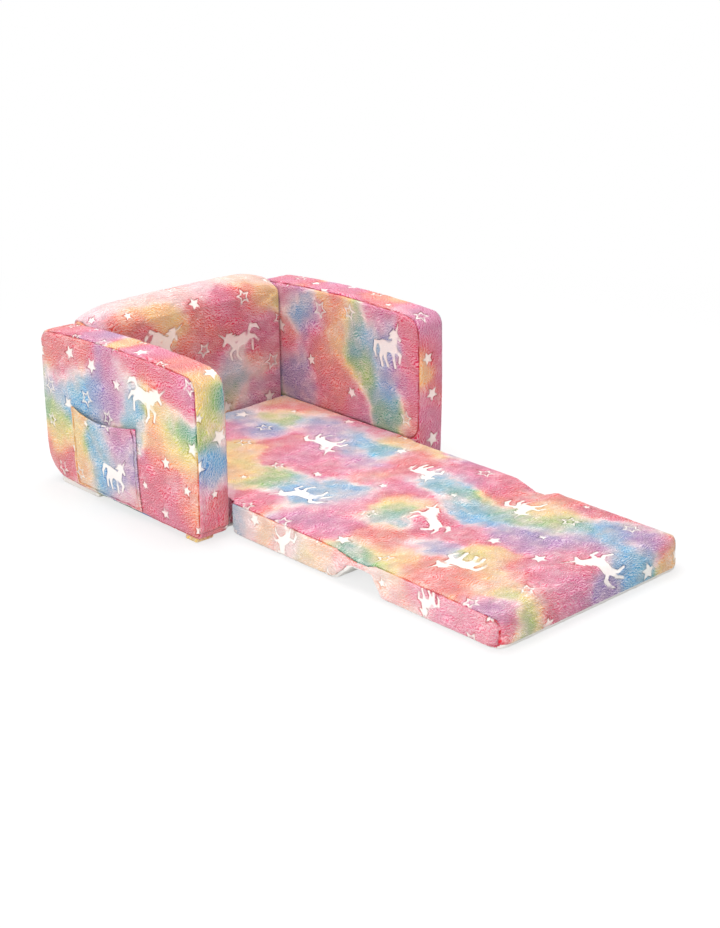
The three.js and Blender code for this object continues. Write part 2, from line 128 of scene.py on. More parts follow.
class Clouds:
    """Seeded smooth noise in space, from -1 to 1."""

    SIDE = 32

    def __init__(self, seed: int) -> None:
        """Fills the lattice from a seed."""
        self.lattice = np.random.RandomState(seed).uniform(-1, 1, (self.SIDE,) * 3)

    def at(self, points: Array, size: float) -> Array:
        """Noise at points.

        Args:
            points: N by 3 places.
            size: Width of one lump of the noise.

        Returns:
            N values.
        """
        scaled = points / size
        cell = np.floor(scaled).astype(int)
        blend = scaled - cell
        blend = blend * blend * (3 - 2 * blend)
        total = np.zeros(len(points))
        for corner in np.ndindex(2, 2, 2):
            weight = np.prod(np.where(corner, blend, 1 - blend), axis=1)
            i, j, k = ((cell + corner) % self.SIDE).T
            total += weight * self.lattice[i, j, k]
        return total

    def billows(self, points: Array, size: float, octaves: int = 3) -> Array:
        """Noise summed over ever finer lumps."""
        return sum(self.at(points, size / 2**step) / 2**step for step in range(octaves))


class Spot(NamedTuple):
    """A patch of dye on a panel: its place, its dye and how strongly it took."""

    u: float
    v: float
    dye: Dye
    strength: float = 1.0


def spots(patches: dict[Dye, Sequence[tuple[float, ...]]]) -> tuple[Spot, ...]:
    """Lists patches of dye.

    Args:
        patches: Each dye's places on the panel, with a strength where that isn't 1.

    Returns:
        The spots.
    """
    return tuple(
        Spot(*place[:2], dye, *place[2:]) for dye, places in patches.items() for place in places
    )


class Motif(Enum):
    """Shapes in the pale print."""

    STAR = "star"
    OUTLINE_STAR = "outline star"
    PRANCING = "prancing unicorn"
    STANDING = "standing unicorn"
    LINE = "line"


class Print(NamedTuple):
    """One printed shape: its middle on the panel, its height, its turn in degrees and its side."""

    u: float
    v: float
    height: float
    turn: float
    motif: Motif
    mirrored: bool = False


class Limb(NamedTuple):
    """A tapering stroke of a drawn animal, from one end to the other, in shares of its height."""

    x: float
    y: float
    end_x: float
    end_y: float
    radius: float
    end_radius: float


# How softly the strokes of a drawn animal run together, in shares of its height
LIMB_BLEND = 0.03
LIMBS = {
    Motif.PRANCING: (
        Limb(-0.15, 0.04, 0.20, 0.00, 0.150, 0.145),
        Limb(-0.20, 0.12, -0.32, 0.31, 0.105, 0.070),
        Limb(-0.33, 0.34, -0.49, 0.26, 0.070, 0.040),
        Limb(-0.38, 0.39, -0.50, 0.62, 0.034, 0.012),
        Limb(-0.30, 0.41, -0.28, 0.49, 0.026, 0.008),
        Limb(-0.27, 0.39, -0.12, 0.36, 0.050, 0.018),
        Limb(-0.22, 0.30, -0.06, 0.26, 0.050, 0.016),
        Limb(-0.16, 0.21, 0.00, 0.19, 0.045, 0.012),
        Limb(-0.20, -0.03, -0.40, -0.07, 0.062, 0.038),
        Limb(-0.40, -0.07, -0.43, -0.26, 0.036, 0.034),
        Limb(-0.13, -0.07, -0.24, -0.26, 0.060, 0.038),
        Limb(-0.24, -0.26, -0.20, -0.44, 0.035, 0.036),
        Limb(0.20, -0.05, 0.32, -0.24, 0.095, 0.044),
        Limb(0.32, -0.24, 0.24, -0.45, 0.038, 0.037),
        Limb(0.24, -0.02, 0.44, -0.16, 0.088, 0.042),
        Limb(0.44, -0.16, 0.50, -0.35, 0.037, 0.034),
        Limb(0.32, 0.06, 0.46, 0.16, 0.040, 0.056),
        Limb(0.46, 0.16, 0.60, 0.06, 0.056, 0.050),
        Limb(0.60, 0.06, 0.67, -0.13, 0.050, 0.010),
    ),
    Motif.STANDING: (
        Limb(-0.13, 0.02, 0.20, 0.03, 0.140, 0.140),
        Limb(-0.18, 0.10, -0.23, 0.31, 0.102, 0.066),
        Limb(-0.24, 0.34, -0.38, 0.22, 0.068, 0.040),
        Limb(-0.28, 0.39, -0.37, 0.61, 0.034, 0.012),
        Limb(-0.21, 0.40, -0.18, 0.47, 0.026, 0.008),
        Limb(-0.18, 0.38, -0.05, 0.32, 0.050, 0.018),
        Limb(-0.14, 0.28, 0.00, 0.21, 0.050, 0.016),
        Limb(-0.18, -0.02, -0.36, -0.13, 0.066, 0.044),
        Limb(-0.36, -0.13, -0.31, -0.31, 0.042, 0.040),
        Limb(-0.11, -0.07, -0.13, -0.26, 0.070, 0.044),
        Limb(-0.13, -0.26, -0.16, -0.43, 0.042, 0.044),
        Limb(0.22, -0.03, 0.31, -0.23, 0.098, 0.048),
        Limb(0.31, -0.23, 0.27, -0.43, 0.044, 0.044),
        Limb(0.15, -0.06, 0.16, -0.25, 0.080, 0.044),
        Limb(0.16, -0.25, 0.09, -0.42, 0.042, 0.042),
        Limb(0.32, 0.10, 0.45, 0.08, 0.038, 0.054),
        Limb(0.45, 0.08, 0.50, -0.10, 0.054, 0.044),
        Limb(0.50, -0.10, 0.45, -0.28, 0.044, 0.010),
    ),
}
OUTLINE_HALF_WIDTH = 1.8 * MM
LINE_RADII = (1.2 * MM, 0.8 * MM)


def limb_distance(points: Array, limb: Limb) -> Array:
    """Distance from points to a tapering stroke, below 0 inside it.

    Args:
        points: N by 2 places.
        limb: The stroke.

    Returns:
        N distances.
    """
    start = np.array((limb.x, limb.y))
    along = np.array((limb.end_x, limb.end_y)) - start
    share = np.clip((points - start) @ along / (along @ along), 0, 1)
    radius = limb.radius + (limb.end_radius - limb.radius) * share
    return np.linalg.norm(points - start - share[:, None] * along, axis=1) - radius


def star_distance(points: Array, reach: float, waist_share: float = 0.46) -> Array:
    """Distance from points to a five-pointed star about the origin, below 0 inside it.

    Args:
        points: N by 2 places.
        reach: From the middle to a tip.
        waist_share: Inner corners' reach as a share of the tips'.

    Returns:
        N distances.
    """
    fifth = 2 * math.pi / 5
    angle = np.arctan2(points[:, 0], points[:, 1])
    folded = np.abs((angle + fifth / 2) % fifth - fifth / 2)
    radius = np.linalg.norm(points, axis=1)
    place = np.stack((radius * np.cos(folded), radius * np.sin(folded)), 1)
    tip = np.array((reach, 0.0))
    inner = reach * waist_share * np.array((math.cos(fifth / 2), math.sin(fifth / 2)))
    edge = (inner - tip) / np.linalg.norm(inner - tip)
    return -((place - tip) @ np.array((-edge[1], edge[0])))


def print_distance(places: Array, printed: Print) -> Array:
    """Distance to one printed shape.

    Args:
        places: N by 2 places on the panel.
        printed: The shape.

    Returns:
        N distances in metres, below 0 inside it.
    """
    turn = math.radians(printed.turn)
    cos, sin = math.cos(turn), math.sin(turn)
    local = (places - (printed.u, printed.v)) @ np.array(((cos, -sin), (sin, cos)))
    if printed.mirrored:
        local = local * (-1, 1)
    half = printed.height / 2
    if printed.motif is Motif.STAR:
        return star_distance(local, half)
    if printed.motif is Motif.OUTLINE_STAR:
        return np.abs(star_distance(local, half)) - OUTLINE_HALF_WIDTH
    if printed.motif is Motif.LINE:
        return limb_distance(local, Limb(0.0, -half, 0.0, half, *LINE_RADII))
    nearest = np.full(len(places), 1.0)
    for limb in LIMBS[printed.motif]:
        distance = limb_distance(local / printed.height, limb)
        share = np.clip(0.5 + 0.5 * (distance - nearest) / LIMB_BLEND, 0, 1)
        nearest = distance * (1 - share) + nearest * share - LIMB_BLEND * share * (1 - share)
    return nearest * printed.height


@dataclass
class Panel:
    """A cut piece of plush, with its dye and prints in its own two coordinates."""

    low: tuple[float, float]
    high: tuple[float, float]
    spots: tuple[Spot, ...] = ()
    unicorns: tuple[Print, ...] = ()
    spot_size: float = 0.030
    stretch: float = 1.0
    strength: float = 1.0
    # Height on the panel above which the dye pales: partly paler dye, partly painted light on the top
    pale_and_lit_above: float = 9.0
    star_gap: float = 0.066
    bare: bool = False
    number: int = field(default=0, init=False)

    COUNT = 0
    FAR = 9.0
    STAR_SEED = 300
    STAR_TRIES = 600
    # How far the dye strays, and over lumps of which width
    DRIFT = ((15 * MM, 62 * MM), (9 * MM, 24 * MM), (4.5 * MM, 9 * MM))
    MOTTLE_SIZES = (34 * MM, 11 * MM)
    WILD_SIZE = 0.075
    WILD_WEIGHT = 0.035
    ROSE_BIAS = 0.06
    BARE_ROSE_BIAS = 0.24
    # How far the dye pales above that height, and over what reach: partly paler dye, partly painted light
    PALE_AND_LIT_SHARE = 0.72
    PALE_AND_LIT_REACH = 14 * MM

    def __post_init__(self) -> None:
        """Numbers the panel, so that its cloud noise and stars are its own."""
        Panel.COUNT += 1
        self.number = Panel.COUNT

    def prints(self) -> list[Print]:
        """The panel's unicorns and its own scatter of stars between them.

        Returns:
            All of them, the unicorns first.
        """
        chance = np.random.RandomState(self.STAR_SEED + self.number)
        chosen = list(self.unicorns)
        for _ in range(0 if self.bare else self.STAR_TRIES):
            u = chance.uniform(self.low[0], self.high[0])
            v = chance.uniform(self.low[1], self.high[1])
            outline = chance.uniform() < 0.3
            height = chance.uniform(0.026, 0.036) if outline else chance.uniform(0.018, 0.040)
            turn = chance.uniform(0, 72)
            room = [math.hypot(u - near.u, v - near.v) - 0.42 * near.height for near in chosen]
            if min(room, default=1.0) >= self.star_gap - 0.012:
                motif = Motif.OUTLINE_STAR if outline else Motif.STAR
                chosen.append(Print(u, v, height, turn, motif))
        return chosen

    def print_field(self, places: Array) -> Array:
        """Distance in millimetres to the nearest print, below 0 inside it, at most FAR.

        Args:
            places: N by 2 places on the panel.

        Returns:
            N distances.
        """
        nearest = np.full(len(places), self.FAR * MM)
        for printed in self.prints():
            reach = 0.85 * printed.height + self.FAR * MM
            near = np.hypot(*(places - (printed.u, printed.v)).T) < reach
            if near.any():
                nearest[near] = np.minimum(nearest[near], print_distance(places[near], printed))
        return nearest / MM

    def dye_field(self, places: Array, clouds: Clouds) -> Array:
        """Colour of the dyed pile, paled above a given height partly by painted light from above.

        Args:
            places: N by 2 places on the panel.
            clouds: Noise that drifts and mottles the dye.

        Returns:
            N linear colours.
        """
        spot = np.column_stack((places, np.full(len(places), 0.37 * self.number)))
        warped = places + np.column_stack(
            [
                sum(reach * clouds.at(spot + shift, lump) for reach, lump in self.DRIFT)
                for shift in (0.0, 1.7)
            ]
        )
        scale = np.array((1.0, 1.0 / self.stretch))
        wild = np.column_stack([clouds.billows(spot + shift, self.WILD_SIZE) for shift in (3.1, 5.3)])
        total = self.WILD_WEIGHT * 1.6 * wild
        weights = np.full(len(places), self.WILD_WEIGHT)
        for patch in self.spots:
            gap = np.linalg.norm((warped - (patch.u, patch.v)) * scale, axis=1)
            weight = np.exp(-0.5 * (gap / self.spot_size) ** 2)
            angle = math.radians(patch.dye.value)
            total += weight[:, None] * patch.strength * np.array((math.cos(angle), math.sin(angle)))
            weights += weight
        soaked = total / weights[:, None] + 0.26 * wild
        soaked[:, 0] += self.ROSE_BIAS if self.spots else self.BARE_ROSE_BIAS
        depth = np.clip(np.linalg.norm(soaked, axis=1) * 1.42 - 0.09, 0, 1) ** 0.9
        broad, fine = self.MOTTLE_SIZES
        mottle = clouds.at(spot + 7.7, broad) + 0.8 * clouds.at(spot + 9.1, fine)
        # Paler above a height: partly paler dye, partly painted light on the top
        edge = self.pale_and_lit_above - self.PALE_AND_LIT_REACH, self.pale_and_lit_above + self.PALE_AND_LIT_REACH
        paled_and_lit = 1 - self.PALE_AND_LIT_SHARE * smooth_share(warped[:, 1], *edge)
        depth = np.clip(depth * paled_and_lit * self.strength * (0.94 + 0.42 * mottle), 0, 1)[:, None]
        hue = np.degrees(np.arctan2(soaked[:, 1], soaked[:, 0])) % 360
        dyed = [np.interp(hue, list(WHEEL), channel) for channel in zip(*WHEEL.values())]
        return linear(np.array(BARE_CLOTH) * (1 - depth) + np.column_stack(dyed) * depth)


def corner_lists(mesh: Mesh) -> tuple[Array, Array]:
    """Each face corner's vertex, and each face's number of corners.

    Args:
        mesh: The mesh.

    Returns:
        Both lists.
    """
    corner_vertex = np.empty(len(mesh.loops), np.int32)
    mesh.loops.foreach_get("vertex_index", corner_vertex)
    sides = np.empty(len(mesh.polygons), np.int32)
    mesh.polygons.foreach_get("loop_total", sides)
    return corner_vertex, sides


def get_vectors(items: Iterable, name: str = "co") -> Array:
    """Reads one vector of each of many mesh items.

    Args:
        items: The vertices, normals or attribute values.
        name: The vector's name.

    Returns:
        N by 3 values.
    """
    flat = np.empty(len(items) * 3, np.float32)
    items.foreach_get(name, flat)
    return flat.reshape(-1, 3).astype(float)


def set_places(mesh: Mesh, places: Array) -> None:
    """Writes all vertex places of a mesh."""
    mesh.vertices.foreach_set("co", places.astype(np.float32).ravel())
    mesh.update()


def paint_plush(
    mesh: Mesh,
    panels: Sequence[Panel],
    cloth: Callable[[int, Array], Array],
    clouds: Clouds,
    rest: Array | None = None,
    face_panel: Array | None = None,
    seam: Array | None = None,
) -> Array:
    """Dyes and prints a mesh by its cut panels.

    Args:
        mesh: The finished mesh.
        panels: The panels it is cut from.
        cloth: Gives a panel's own two coordinates at places.
        clouds: Noise that drifts the dye.
        rest: Each vertex's place on the plain form, where that isn't the mesh's own.
        face_panel: Each face's panel, by number, where there are several.
        seam: Each vertex's distance from the nearest seam, in metres, where it has one.

    Returns:
        Each vertex's distance from the nearest print in millimetres, below 0 inside it.
    """
    rest = get_vectors(mesh.vertices) if rest is None else rest
    seam = np.ones(len(rest)) if seam is None else seam
    face_panel = np.zeros(len(mesh.polygons), int) if face_panel is None else face_panel
    corner_vertex, sides = corner_lists(mesh)
    corner_rest, corner_panel = rest[corner_vertex], np.repeat(face_panel, sides)
    uv = np.zeros((len(corner_vertex), 2))
    dye = np.ones((len(corner_vertex), 4))
    printed = np.full(len(corner_vertex), Panel.FAR)
    for number, panel in enumerate(panels):
        mine = corner_panel == number
        if mine.any():
            places = cloth(number, corner_rest[mine])
            uv[mine] = places + (0.0, 2.0 * panel.number)
            dye[mine, :3] = panel.dye_field(places, clouds)
            printed[mine] = panel.print_field(places)
    vertex_print = np.full(len(rest), Panel.FAR)
    np.minimum.at(vertex_print, corner_vertex, printed)
    mesh.uv_layers.new(name="Cloth").data.foreach_set("uv", uv.astype(np.float32).ravel())
    for name, kind, domain, key, values in (
        ("dye", "FLOAT_COLOR", "CORNER", "color", dye),
        ("print", "FLOAT", "CORNER", "value", printed),
        ("seam", "FLOAT", "POINT", "value", np.minimum(seam / MM, 20)),
    ):
        layer = mesh.attributes.new(name, kind, domain)
        layer.data.foreach_set(key, values.astype(np.float32).ravel())
    return vertex_print


class Corner(NamedTuple):
    """A rounded corner of a block's profile, in Y and Z."""

    y: float
    z: float
    radius: float


class Outline:
    """A closed outline in Y and Z through rounded corners listed anticlockwise."""

    ARC_STEPS = 8
    AT_ONCE = 20000

    def __init__(self, corners: Sequence[Corner]) -> None:
        """Lays arcs at the corners and measures the way round.

        Args:
            corners: The outline's corners.
        """
        points = []
        for index, corner in enumerate(corners):
            here = np.array(corner[:2])
            before = np.array(corners[index - 1][:2])
            after = np.array(corners[(index + 1) % len(corners)][:2])
            inward = (here - before) / np.linalg.norm(here - before)
            onward = (after - here) / np.linalg.norm(after - here)
            turn = math.atan2(inward[0] * onward[1] - inward[1] * onward[0], inward @ onward)
            side = math.copysign(1.0, turn)
            start = here - inward * corner.radius * math.tan(abs(turn) / 2)
            centre = start + side * corner.radius * np.array((-inward[1], inward[0]))
            for step in range(self.ARC_STEPS + 1):
                angle = turn * step / self.ARC_STEPS
                cos, sin = math.cos(angle), math.sin(angle)
                points.append(centre + np.array(((cos, -sin), (sin, cos))) @ (start - centre))
        self.points = np.array(points)
        self.ways = np.roll(self.points, -1, axis=0) - self.points
        self.lengths = np.maximum(np.linalg.norm(self.ways, axis=1), 1e-9)
        self.starts = np.concatenate(((0.0,), np.cumsum(self.lengths)[:-1]))

    def locate(self, places: Array) -> tuple[Array, Array]:
        """Finds places against the outline.

        Args:
            places: N by 3 places, of which Y and Z count.

        Returns:
            How far round the outline each one's nearest point lies, and how deep it is inside.
        """
        round_way, inset = np.empty(len(places)), np.empty(len(places))
        for first in range(0, len(places), self.AT_ONCE):
            part = slice(first, first + self.AT_ONCE)
            offset = places[part, None, 1:] - self.points[None]
            share = np.clip((offset * self.ways).sum(2) / self.lengths**2, 0, 1)
            distance = np.linalg.norm(offset - share[..., None] * self.ways, axis=2)
            nearest = distance.argmin(1)
            rows = np.arange(len(nearest))
            way, away = self.ways[nearest], offset[rows, nearest]
            side = way[:, 0] * away[:, 1] - way[:, 1] * away[:, 0]
            inset[part] = distance[rows, nearest] * np.where(side >= 0, 1, -1)
            round_way[part] = self.starts[nearest] + share[rows, nearest] * self.lengths[nearest]
        return round_way, inset


def linked(name: str, data: bpy.types.ID) -> bpy.types.Object:
    """Puts an object into the scene, at the origin.

    Args:
        name: Its name.
        data: Its mesh, camera or lamp.

    Returns:
        The object.
    """
    made = bpy.data.objects.new(name, data)
    bpy.context.scene.collection.objects.link(made)
    return made


def new_piece(name: str, form: Form) -> Piece:
    """Makes a smooth piece of a finished bmesh and frees it.

    Args:
        name: The piece's name.
        form: The bmesh.

    Returns:
        The piece.
    """
    bmesh.ops.recalc_face_normals(form, faces=form.faces)
    mesh = bpy.data.meshes.new(name)
    form.to_mesh(mesh)
    form.free()
    mesh.shade_smooth()
    return linked(name, mesh)


def baked(piece: Piece) -> Mesh:
    """Applies a piece's modifiers to its mesh and clears them.

    Args:
        piece: The piece.

    Returns:
        Its new mesh.
    """
    graph = bpy.context.evaluated_depsgraph_get()
    graph.update()
    mesh = bpy.data.meshes.new_from_object(piece.evaluated_get(graph))
    old = piece.data
    piece.modifiers.clear()
    piece.data = mesh
    bpy.data.meshes.remove(old)
    mesh.name = piece.name
    return mesh


def hand_in(piece: Piece, slot: str, *nodes: str, body: str = "sofa") -> Piece:
    """Sets a rigid piece in its nodes' place.

    Args:
        piece: The finished piece.
        slot: Its material slot; not used.
        nodes: The CAD nodes it stands for.
        body: The body it rides on.

    Returns:
        The piece.
    """
    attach(piece, body)
    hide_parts(*nodes)
    return piece


def node_box(*nodes: str) -> tuple[Vector, Vector]:
    """The box round several CAD nodes."""
    lows, highs = zip(*(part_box(node) for node in nodes))
    return Vector([*map(min, zip(*lows))]), Vector([*map(max, zip(*highs))])


def rounded(form: Form, geom: Sequence, reach: float, segments: int, kind: str = "EDGES") -> None:
    """Bevels edges or vertices of a form.

    Args:
        form: The form.
        geom: The edges or vertices.
        reach: How far the bevel reaches.
        segments: Its number of steps.
        kind: EDGES or VERTICES.
    """
    bmesh.ops.bevel(
        form, geom=geom, offset=reach, offset_type="OFFSET", segments=segments,
        profile=0.5, affect=kind, material=-1,
    )


def block(
    form: Form,
    size: Sequence[float],
    place: Sequence[float],
    nose_axis: int = 0,
    nose: Sequence[float] = (),
) -> None:
    """Adds a box to a form.

    Args:
        form: The form.
        size: The box's three sides.
        place: Its middle.
        nose_axis: The axis whose far end may be narrower.
        nose: That end's size as shares of the box's.
    """
    made = bmesh.ops.create_cube(form, size=1.0)["verts"]
    bmesh.ops.scale(form, verts=made, vec=size)
    if nose:
        bmesh.ops.scale(form, verts=[vert for vert in made if vert.co[nose_axis] > 0], vec=nose)
    bmesh.ops.translate(form, verts=made, vec=place)


def profile_form(corners: Sequence[Corner], low_x: float, high_x: float, edge: float) -> Form:
    """A block with a rounded profile, drawn in Y and Z and extruded along X.

    Args:
        corners: The profile's corners, anticlockwise.
        low_x: One end of the block.
        high_x: The other end.
        edge: Bevel of the two end faces' edges.

    Returns:
        The block's bmesh.
    """
    form = bmesh.new()
    points = [form.verts.new((low_x, corner.y, corner.z)) for corner in corners]
    form.faces.new(points)
    for index, (point, corner) in enumerate(zip(points, corners)):
        before, after = corners[index - 1], corners[(index + 1) % len(corners)]
        inward = Vector((corner.y - before.y, corner.z - before.z))
        onward = Vector((after.y - corner.y, after.z - corner.z))
        reach = corner.radius * math.tan(inward.angle(onward) / 2)
        rounded(form, [point], reach, 6, "VERTICES")
    made = bmesh.ops.extrude_face_region(form, geom=list(form.faces))["geom"]
    moved = [item for item in made if isinstance(item, bmesh.types.BMVert)]
    bmesh.ops.translate(form, verts=moved, vec=(high_x - low_x, 0, 0))
    bmesh.ops.recalc_face_normals(form, faces=form.faces)
    rims = [rim for rim in form.edges if abs(rim.verts[0].co.x - rim.verts[1].co.x) < edge / 2]
    rounded(form, rims, edge, 3)
    return form


def sliced(form: Form, axis: int, step: float) -> None:
    """Cuts a form across an axis at even steps.

    Args:
        form: The form.
        axis: The axis, by number.
        step: About how far apart the cuts lie.
    """
    places = [vert.co[axis] for vert in form.verts]
    low, high = min(places), max(places)
    normal = Vector([float(axis == each) for each in range(3)])
    count = round((high - low) / step)
    for cut in range(1, count):
        whole = [*form.verts, *form.edges, *form.faces]
        place = normal * (low + (high - low) * cut / count)
        bmesh.ops.bisect_plane(form, geom=whole, dist=MM / 100, plane_co=place, plane_no=normal)


class Socket:
    """A shader value that adds Math nodes as it is reckoned with."""

    def __init__(self, tree: "Tree", link: bpy.types.NodeSocket) -> None:
        """Wraps an output of a node in a tree."""
        self.tree = tree
        self.link = link

    def _math(self, operation: str, *values: object) -> "Socket":
        """Adds one Math node."""
        return self.tree.node("ShaderNodeMath", {"operation": operation}, dict(enumerate(values)))

    def __add__(self, other: object) -> "Socket":
        """Sum."""
        return self._math("ADD", self, other)

    __radd__ = __add__

    def __sub__(self, other: object) -> "Socket":
        """Difference."""
        return self._math("SUBTRACT", self, other)

    def __rsub__(self, other: object) -> "Socket":
        """Difference from a value before it."""
        return self._math("SUBTRACT", other, self)

    def __mul__(self, other: object) -> "Socket":
        """Product."""
        return self._math("MULTIPLY", self, other)

    __rmul__ = __mul__

    def sine(self) -> "Socket":
        """Sine of an angle in radians."""
        return self._math("SINE", self)

    def most(self, other: object) -> "Socket":
        """The larger of two values."""
        return self._math("MAXIMUM", self, other)

    def least(self, other: object) -> "Socket":
        """The smaller of two values."""
        return self._math("MINIMUM", self, other)

    def step(self, start: float, end: float) -> "Socket":
        """Smooth step from 0 at start to 1 at end."""
        inputs = {"Value": self, "From Min": start, "From Max": end}
        return self.tree.node("ShaderNodeMapRange", {"interpolation_type": "SMOOTHSTEP"}, inputs)

    def beside(self, output: int | str) -> "Socket":
        """Another output of the same node."""
        return Socket(self.tree, self.link.node.outputs[output])


class Tree:
    """The node tree of a material or a world, filled through one method."""

    def __init__(self, owner: bpy.types.Material | bpy.types.World) -> None:
        """Empties the owner's tree.

        Args:
            owner: The material or world.
        """
        owner.use_nodes = True
        self.owner = owner
        self.nodes, self.links = owner.node_tree.nodes, owner.node_tree.links
        self.nodes.clear()

    def node(
        self, kind: str, settings: dict | None = None, inputs: dict | None = None, output: int | str = 0
    ) -> Socket:
        """Adds a node.

        Args:
            kind: The node's type.
            settings: Its properties, set before its inputs.
            inputs: Values or sockets by input name or number.
            output: Which output is wanted.

        Returns:
            That output.
        """
        made = self.nodes.new(kind)
        for name, value in (settings or {}).items():
            setattr(made, name, value)
        for name, value in (inputs or {}).items():
            if isinstance(value, Socket):
                self.links.new(value.link, made.inputs[name])
            else:
                made.inputs[name].default_value = value
        return Socket(self, made.outputs[output])

    def mix(self, share: object, first: object, second: object, blend: str = "MIX") -> Socket:
        """Blends two colours."""
        settings = {"data_type": "RGBA", "blend_type": blend}
        return self.node("ShaderNodeMix", settings, {0: share, 6: first, 7: second}, output=2)

    def tinted(self, colour: Colour, shade: Socket) -> Socket:
        """A display colour times a shade about 1."""
        tint = self.node("ShaderNodeCombineColor", None, {0: shade, 1: shade, 2: shade})
        return self.mix(1.0, self.solid(colour), tint, "MULTIPLY")

    @staticmethod
    def solid(colour: Colour) -> tuple[float, ...]:
        """A display colour as a socket takes it."""
        return (*linear(colour), 1.0)

    def noise(self, vector: Socket, scale: float, detail: float = 2.0, roughness: float = 0.5) -> Socket:
        """Noise from 0 to 1."""
        inputs = {"Vector": vector, "Scale": scale, "Detail": detail, "Roughness": roughness}
        return self.node("ShaderNodeTexNoise", None, inputs)

    def scaled(self, vector: Socket, factors: Sequence[float]) -> Socket:
        """A vector stretched along its axes."""
        inputs = {"Vector": vector, "Scale": factors}
        return self.node("ShaderNodeMapping", {"vector_type": "POINT"}, inputs)

    def attribute(self, name: str, output: str = "Fac") -> Socket:
        """A layer of the mesh."""
        return self.node("ShaderNodeAttribute", {"attribute_name": name}, output=output)

    def place(self) -> Socket:
        """Object coordinates."""
        return self.node("ShaderNodeTexCoord", output="Object")

    def seen(self) -> Socket:
        """1 for rays that show something to the camera, 0 for those that light it."""
        camera = self.node("ShaderNodeLightPath", output="Is Camera Ray")
        return camera.most(camera.beside("Is Glossy Ray")).most(camera.beside("Is Transmission Ray"))

    def bump(self, height: Socket, strength: float, distance: float) -> Socket:
        """Normals raised by a height."""
        inputs = {"Height": height, "Strength": strength, "Distance": distance}
        return self.node("ShaderNodeBump", None, inputs)

    def surface(self, inputs: dict[str, object]) -> bpy.types.Material:
        """Closes the tree with the usual shader."""
        return self.close(self.node("ShaderNodeBsdfPrincipled", None, inputs))

    def close(self, shader: Socket, kind: str = "ShaderNodeOutputMaterial") -> bpy.types.ID:
        """Joins the shader to the output and returns the tree's owner."""
        self.links.new(shader.link, self.nodes.new(kind).inputs["Surface"])
        return self.owner


def new_material(name: str) -> Tree:
    """Starts a material."""
    return Tree(bpy.data.materials.new(name))


